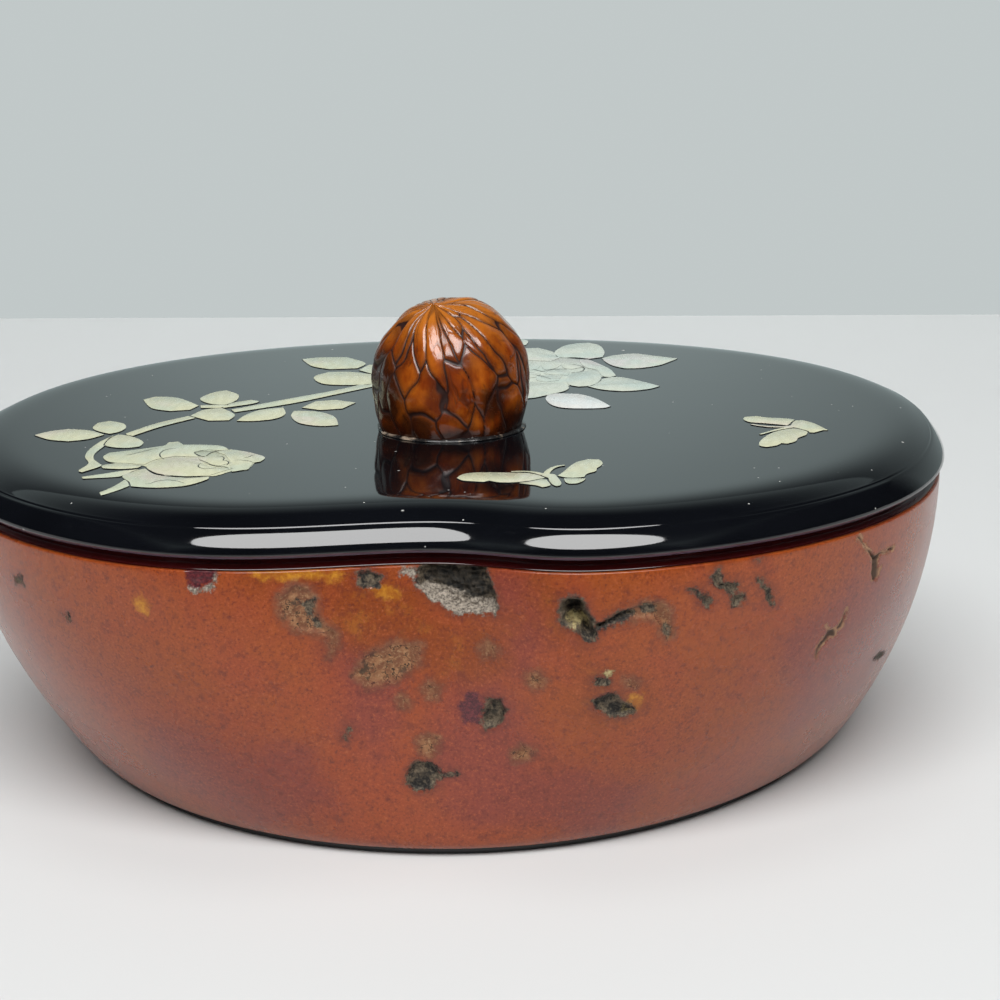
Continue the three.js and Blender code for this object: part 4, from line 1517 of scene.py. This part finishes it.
    def shell_shade(self, name: str) -> str:
        """The finish of a plate's face: the bloom is whiter, and one of its leaves is pink.

        Args:
            name: The name of the plate's node, or of its flower.

        Returns:
            The name of the finish.
        """
        if name == "bloom_leaf_3":
            return "pink_nacre"
        return "white_nacre" if name.startswith("bloom") else "nacre"

    def build_line(self, number: int, points: Outline) -> Object:
        """Builds one dark line cut into the shell, as a fine ribbon that tapers to its ends.

        Args:
            number: The line's number.
            points: The line's points in plan, in mm.

        Returns:
            The line.
        """
        path = [Vector((x, y, 0.0)) * MM + Vector((0, 0, LID_TOP)) for x, y in points]
        left, right = [], []
        last = len(path) - 1
        for i, point in enumerate(path):
            along = (path[min(i + 1, last)] - path[max(i - 1, 0)]).normalized()
            half = self.line_width * (0.5 if 0 < i < last else 0.12)
            side = Vector((-along.y, along.x, 0.0)) * half
            left.append(point + side)
            right.append(point - side)
        outline = self.round_outline(right + left[::-1])
        return self.cut_plate(f"shell_line_{number}", outline, self.line_lift)

    def build(self, finishes: dict[str, Material]) -> None:
        """Builds and dresses the board, the flange and every shell plate.

        Args:
            finishes: Every finish by name.
        """
        finish_piece(self.build_board(), "lid", [finishes["black"]], ["lid_board"])
        finish_piece(self.build_flange(), "lid", [finishes["foot"]], ["lid_flange"])
        for node in frame["record"]["behaviour"]["bodies"]["lid"]:
            if node not in self.lead_nodes:
                faces = (finishes[self.shell_shade(node)], finishes["foot"])
                finish_piece(self.build_plate(node), "lid", faces, [node])
        for flower, points in GROUNDS.items():
            outline = self.round_outline([Vector((x * MM, y * MM, LID_TOP)) for x, y in points])
            ground = self.cut_plate(f"shell_{flower}_ground", outline, self.ground_lift)
            finish_piece(ground, "lid", (finishes[self.shell_shade(flower)], finishes["foot"]))
        for number, points in enumerate(INCISIONS, 1):
            line = self.build_line(number, points)
            finish_piece(line, "lid", [finishes["incision"]] * 2)


# The knob


@dataclass
class Knob:
    """The walnut, the bead of lacquer round its foot and its peg."""

    x: float = 0.9 * MM
    y: float = -17.6 * MM
    radius: float = 16.5 * MM
    belly: float = 9.6 * MM
    top: float = 28.3 * MM
    below: float = 20.5 * MM
    fullness: float = 2.3
    tip: Vector = Vector((-3.2, -5.4, 18.0))
    groove_depth: float = 0.26 * MM
    # Darker patches low on the front, each as x and z of its middle and its width and height, in mm from
    # the nut's foot. The last, a wide flat band along the foot, is painted shade where the nut meets the
    # lid.
    stains: tuple[tuple[float, float, float, float], ...] = (
        (9.0, 8.0, 2.8, 4.6),
        (-9.0, 0.8, 6.5, 4.2),
        (13.0, 2.0, 4.6, 4.2),
        (-14.2, 9.5, 3.6, 9.5),
        (0.0, 0.2, 14.0, 2.6),
    )
    columns: int = 430
    rows: int = 214
    bead_points: int = 144

    def reach(self, way: Vector) -> float:
        """How far the plain nut reaches from its middle in a direction.

        Args:
            way: The direction, of length 1.

        Returns:
            The distance.
        """
        across = math.hypot(way.x, way.y) / self.radius
        up = abs(way.z) / (self.top - self.belly if way.z > 0 else self.below)
        distance = 1 / math.hypot(across, up)
        for _ in range(6):
            wide, high = (distance * across) ** 2, (distance * up) ** self.fullness
            distance -= (wide + high - 1) * distance / (2 * wide + self.fullness * high)
        return distance

    def relief(self, own: Vector) -> tuple[float, float]:
        """The nut's grooves and swellings in a direction of its own axes.

        Args:
            own: The direction in the nut's own axes, with its point towards +Z.

        Returns:
            How far the surface stands out, and how deep in a groove it is, from 0 to 1, with a soft falloff
            beside each groove that only darkens the colour, as painted shade.
        """
        angle = math.atan2(own.y, own.x)
        polar = math.acos(max(-1.0, min(1.0, own.z)))
        sway = noise.noise(own * 1.7) * 0.16
        spot = Vector((math.cos(angle + sway) * 2.9, math.sin(angle + sway) * 2.9, polar * 1.25 + sway))
        spot += noise.noise_vector(own * 5.0) * 0.06
        near = noise.voronoi(spot)[0]
        border = near[1] - near[0]
        fine = noise.voronoi(spot * 2.1 + Vector((3, 1, 7)))[0]
        branch = fine[1] - fine[0]
        fade = min(1.0, polar / 0.35)
        groove = math.exp(-((border / 0.042) ** 2))
        twig = 0.4 * math.exp(-((branch / 0.045) ** 2)) * fade * max(0.0, noise.noise(own * 3.0) + 0.35)
        ray = abs(math.sin(4.5 * angle + 5.0 * sway)) / max(0.25, math.sin(polar)) * 0.5
        fan = 0.6 * math.exp(-((ray / 0.12) ** 2)) * max(0.0, 1.0 - polar / 0.7)
        depth = max(groove * fade, twig, fan)
        swell = 0.22 * MM * min(1.0, border / 0.45) + 0.75 * MM * noise.noise(own * 2.1)
        swell += 0.12 * MM * noise.noise(own * 6.0)
        seam = 0.4 * MM * math.exp(-((math.sin(angle) / 0.13) ** 2)) * fade
        nib = 0.6 * MM * math.exp(-((polar / 0.08) ** 2))
        # Painted shade: a soft falloff beside each groove, which only darkens the colour.
        soft = 0.3 * math.exp(-((border / 0.2) ** 2))
        return swell + seam + nib - self.groove_depth * depth, max(depth, soft)

    def build_nut(self) -> Object:
        """Shapes a sphere into the walnut, point up and a little tilted, flat where it sits on the lid.

        Returns:
            The walnut.
        """
        deselect()
        bpy.ops.mesh.primitive_uv_sphere_add(segments=self.columns, ring_count=self.rows, radius=1.0)
        nut = bpy.context.object
        nut.name = "walnut"
        nut.data.name = "walnut"
        tilt = Vector((0, 0, 1)).rotation_difference(self.tip.normalized())
        centre = Vector((self.x, self.y, LID_TOP + self.belly))
        depths = []
        stains = []
        for vertex in nut.data.vertices:
            own = vertex.co.normalized()
            way = tilt @ own
            out, depth = self.relief(own)
            point = centre + way * (self.reach(way) + out)
            point.z = max(point.z, LID_TOP)
            vertex.co = point
            depths.append(depth)
            # Darker patches on the front only, the band along the foot being painted shade; the back gets a
            # plain 0.2.
            x, z = (point.x - self.x) / MM, (point.z - LID_TOP) / MM
            far = min(math.hypot((x - a) / wide, (z - b) / tall) for a, b, wide, tall in self.stains)
            stains.append(max(0.0, 1.0 - 0.5 * far) if point.y < self.y else 0.2)
        for name, values in (("groove", depths), ("stain", stains)):
            attribute = nut.data.attributes.new(name, "FLOAT", "POINT")
            attribute.data.foreach_set("value", values)
        smooth(nut, 80)
        return nut

    def foot_radius(self, angle: float) -> float:
        """The walnut's radius where it meets the lid."""
        away = Vector((math.cos(angle), math.sin(angle), -self.belly / self.radius)).normalized()
        return self.reach(away) * math.hypot(away.x, away.y)

    def build_bead(self) -> Object:
        """Lofts the lumpy bead of putty that runs round the walnut's foot.

        Returns:
            The bead.
        """

        def ring(reach: float, height: float) -> RingShape:
            """A ring of the bead, so far out from the nut's foot and so high.

            Args:
                reach: How far out.
                height: How high above the lid.

            Returns:
                The ring, from an angle to a point.
            """

            def point(angle: float) -> Vector:
                """The ring's point, with its lumps.

                Args:
                    angle: The direction from the nut's middle.

                Returns:
                    The point.
                """
                lump = 1 + 0.5 * noise.noise(Vector((math.cos(angle) * 3, math.sin(angle) * 3, 1.0)))
                lump += 0.35 * noise.noise(Vector((math.cos(angle) * 9, math.sin(angle) * 9, 4.0)))
                out = self.foot_radius(angle) + reach * lump
                flat = Vector((self.x + out * math.cos(angle), self.y + out * math.sin(angle)))
                return flat.to_3d() + Vector((0, 0, LID_TOP + height * lump))

            return point

        section = ((0.9, 0.0), (0.8, 0.25), (0.5, 0.5), (0.1, 0.65), (-0.7, 0.5), (-0.8, 0.0))
        rings = [ring(out * MM, high * MM) for out, high in section]
        bead = loft("bead", rings, self.bead_points, Ends.LOOP, 1)
        smooth(bead, 60)
        return bead

    def build(self, finishes: dict[str, Material]) -> None:
        """Builds and dresses the walnut, its bead and its peg.

        Args:
            finishes: Every finish by name.
        """
        finish_piece(self.build_nut(), "lid", [finishes["walnut"]], ["walnut_knob"])
        finish_piece(self.build_bead(), "lid", [finishes["putty"]], ["knob_bead"])
        peg = frame["nodes"]["knob_peg"]
        peg.data.materials.clear()
        peg.data.materials.append(finishes["peg"])
        LOG.info("knob_peg keeps its own solid, with a wood finish")


# The studio


@dataclass
class Studio:
    """The camera, the floor, the back wall and the lights."""

    camera_place: Vector = Vector((11.05, -526.2, 183.9)) * MM
    pitch: float = 14.16
    roll: float = -1.03
    lens: float = 86.4
    wall_distance: float = 0.541
    wall_turn: float = -4.7
    wall_height: float = 0.46
    wall_colour: Colour = (0.535, 0.58, 0.58)
    floor_colour: Colour = (0.66, 0.67, 0.665)
    key_distance: float = 2.0
    key_elevation: float = 52.0
    key_azimuth: float = 1.0
    key_size: tuple[float, float] = (2.2, 1.15)
    key_power: float = 57.0
    key_aim: float = 0.06
    lamp_height: float = 1.5
    lamp_size: float = 0.5
    lamp_power: float = 2.0
    mirror_colour: Colour = (0.50, 0.60, 0.60)
    mirror_dark: Colour = (0.006, 0.008, 0.011)
    fill_colour: Colour = (0.93, 0.96, 1.0)
    fill_strength: float = 0.16
    floor_size: float = 5.0
    wall_width: float = 6.0

    def add_camera(self) -> None:
        """Places the camera at the photograph's viewing angle."""
        data = bpy.data.cameras.new("camera")
        data.lens = self.lens
        data.sensor_width = 36.0
        data.clip_start = 0.01
        camera = bpy.data.objects.new("camera", data)
        bpy.context.scene.collection.objects.link(camera)
        tilt = Matrix.Rotation(math.radians(90 - self.pitch), 4, "X")
        turn = Matrix.Rotation(math.radians(self.roll), 4, "Z")
        camera.matrix_world = Matrix.Translation(self.camera_place) @ tilt @ turn
        bpy.context.scene.camera = camera

    def backdrop_material(self) -> Material:
        """A wall that glows with its plain colour to the eye, shows glossy rays a painted reflection that
        darkens towards its top and its sides, and is clear from behind.

        Returns:
            The material.
        """
        material = bpy.data.materials.new("backdrop")
        material.use_nodes = True
        shader = Shader(material.node_tree)
        shader.tree.nodes.clear()
        colour = (*self.wall_colour, 1.0)
        ray = shader.node("LightPath").outputs
        spot = shader.node("SeparateXYZ", {0: shader.node("NewGeometry").outputs["Position"]}).outputs
        # Painted reflection: glossy rays see the wall darker towards its top and its sides.
        high = shader.less(1.0, shader.ramp(spot[2], 0.10, 0.66))
        aside = shader.math("ABSOLUTE", spot[0])
        wide = shader.times(shader.ramp(aside, 0.05, 0.30), 0.5)
        wide = shader.most(wide, shader.ramp(aside, 0.35, 1.0))
        bright = shader.times(high, shader.less(1.0, wide))
        mirrored = shader.mix(bright, (0.01, 0.012, 0.015), self.mirror_colour)
        shown = shader.mix(ray["Is Glossy Ray"], self.wall_colour, mirrored)
        glow = shader.node("Emission", {"Color": shown, "Strength": 1.0}).outputs[0]
        matt = shader.node("BsdfDiffuse", {"Color": colour}).outputs[0]
        clear = shader.node("BsdfTransparent").outputs[0]
        seen = shader.most(ray["Is Camera Ray"], ray["Is Glossy Ray"])
        front = shader.node("MixShader", {0: seen, 1: matt, 2: glow}).outputs[0]
        back = shader.node("NewGeometry").outputs["Backfacing"]
        whole = shader.node("MixShader", {0: back, 1: front, 2: clear}).outputs[0]
        shader.node("OutputMaterial", {"Surface": whole})
        return material

    def floor_material(self) -> Material:
        """A plain pale table top, with a painted reflection near its front: glossy rays see it near black.

        Returns:
            The material.
        """
        material, shader, principled, place = new_material("table_top")
        cloud = shader.noise(place, 6.0, 3.0)
        darker = tuple(0.97 * c for c in self.floor_colour)
        colour = shader.mix(cloud, self.floor_colour, darker)
        # Painted reflection: the front of the table turns near black for glossy rays only.
        near = shader.times(shader.axis(place, 1), -1.0)
        glossy = shader.node("LightPath").outputs["Is Glossy Ray"]
        edge = shader.times(shader.ramp(near, 0.12, 0.27), glossy)
        join(shader, principled, Base_Color=shader.mix(edge, colour, (0.02, 0.02, 0.02)))
        principled.inputs["Roughness"].default_value = 0.7
        principled.inputs["Specular IOR Level"].default_value = 0.2
        return material

    def add_stage(self) -> None:
        """Adds the floor and the back wall."""
        deselect()
        bpy.ops.mesh.primitive_plane_add(size=self.floor_size, location=(0, 0, 0))
        floor = bpy.context.object
        floor.name = "floor"
        floor.data.materials.append(self.floor_material())
        deselect()
        bpy.ops.mesh.primitive_plane_add(size=1.0)
        wall = bpy.context.object
        wall.name = "backdrop"
        turn = Matrix.Rotation(math.radians(self.wall_turn), 4, "Z")
        stand = Matrix.Rotation(math.radians(90), 4, "X")
        size = Matrix.Diagonal((self.wall_width, self.wall_height, 1.0, 1.0))
        middle = Matrix.Translation((0, self.wall_distance, self.wall_height / 2))
        wall.matrix_world = middle @ turn @ stand @ size
        wall.data.materials.append(self.backdrop_material())

    def add_area(self, name: str, shape: str, size: tuple[float, float], power: float) -> Object:
        """Adds an area lamp at the origin.

        Args:
            name: The lamp's name.
            shape: Blender's name for its shape.
            size: Its width and height.
            power: Its power in watts.

        Returns:
            The lamp.
        """
        data = bpy.data.lights.new(name, "AREA")
        data.shape = shape
        data.size, data.size_y = size
        data.energy = power
        lamp = bpy.data.objects.new(name, data)
        bpy.context.scene.collection.objects.link(lamp)
        return lamp

    def add_lamps(self) -> None:
        """Hangs the soft window light above the camera, and a weak lamp overhead that firms the shadow."""
        key = self.add_area("window", "ELLIPSE", self.key_size, self.key_power)
        up, side = math.radians(self.key_elevation), math.radians(self.key_azimuth)
        way = Vector((math.sin(side) * math.cos(up), -math.cos(side) * math.cos(up), math.sin(up)))
        key.location = way * self.key_distance + Vector((0, 0, self.key_aim))
        key.rotation_mode = "QUATERNION"
        key.rotation_quaternion = way.to_track_quat("Z", "Y")
        lamp = self.add_area("overhead", "DISK", (self.lamp_size, self.lamp_size), self.lamp_power)
        lamp.location = (0.0, 0.0, self.lamp_height)
        lamp.visible_glossy = False

    def add_world(self) -> None:
        """A soft even room: plain to the eye, with a dark ceiling in reflections."""
        world = bpy.data.worlds.new("room")
        bpy.context.scene.world = world
        world.use_nodes = True
        shader = Shader(world.node_tree)
        shader.tree.nodes.clear()
        toward = shader.node("SeparateXYZ", {0: shader.node("TexCoord").outputs["Generated"]}).outputs
        front = shader.ramp(shader.times(toward[1], -1.0), 0.35, 0.8)
        aside = shader.ramp(shader.math("ABSOLUTE", toward[0]), 0.35, 0.75)
        ceiling = shader.ramp(toward[2], 0.24, 0.80)
        dark = shader.most(ceiling, shader.most(front, aside))
        wall = (*self.wall_colour, 1.0)
        mirrored = shader.mix(dark, self.mirror_colour, self.mirror_dark)
        ray = shader.node("LightPath").outputs
        plain = shader.node("Background", {"Color": wall, "Strength": 1.0}).outputs[0]
        mirror = shader.node("Background", {"Color": mirrored, "Strength": 1.0}).outputs[0]
        soft = {"Color": (*self.fill_colour, 1.0), "Strength": self.fill_strength}
        fill = shader.node("Background", soft).outputs[0]
        lit = shader.node("MixShader", {0: ray["Is Glossy Ray"], 1: fill, 2: mirror}).outputs[0]
        whole = shader.node("MixShader", {0: ray["Is Camera Ray"], 1: lit, 2: plain}).outputs[0]
        shader.node("OutputWorld", {"Surface": whole})

    def build(self) -> None:
        """Sets the whole scene round the box."""
        self.add_camera()
        self.add_stage()
        self.add_lamps()
        self.add_world()
        bpy.context.scene.view_settings.view_transform = "Standard"
        LOG.info("studio: camera, floor, backdrop, window light and room")


def make_finishes() -> dict[str, Material]:
    """Builds every finish once, by the name that the pieces ask for.

    Returns:
        The finishes by name.
    """
    groups = make_groups()
    black: Colour = (0.0035, 0.004, 0.0055)
    edge: Colour = (0.085, 0.06, 0.085)
    return {
        "gourd": GourdLacquer().make(groups),
        "lining": Lacquer("red_lining", (0.09, 0.007, 0.005), 0.16).make(groups),
        # Dark red lacquer, darkened further as painted shade for the shadow under the lid's edge.
        "red": Lacquer("red_lacquer", (0.032, 0.0022, 0.002), 0.10).make(groups),
        "black": Lacquer(
            "black_lacquer", black, 0.055, dust=0.4, edge_colour=edge, edge_top=RIM_TOP + 0.85 * MM, ior=1.6
        ).make(groups),
        "foot": Lacquer("black_foot", black, 0.16).make(groups),
        "incision": Lacquer("line_filler", (0.025, 0.027, 0.022), 0.4).make(groups),
        "nacre": Nacre().make(groups),
        "white_nacre": Nacre(
            "white_nacre", (0.58, 0.62, 0.52), (0.50, 0.58, 0.51), (0.61, 0.58, 0.55), (0.38, 0.42, 0.36)
        ).make(groups),
        "pink_nacre": Nacre(
            "pink_nacre", (0.74, 0.73, 0.68), (0.68, 0.72, 0.70), (0.80, 0.66, 0.72), (0.52, 0.50, 0.48)
        ).make(groups),
        "walnut": WalnutShell().make(groups),
        "putty": Putty().make(groups),
        "peg": BareWood().make(groups),
    }


def main() -> None:
    """Builds the studio and then the box, piece by piece."""
    logging.basicConfig(level=logging.INFO, format="%(name)s: %(message)s")
    noise.seed_set(NOISE_SEED)
    Studio().build()
    finishes = make_finishes()
    Bowl().build(finishes)
    Lid().build(finishes)
    Knob().build(finishes)


if __name__ == "__main__":
    main()
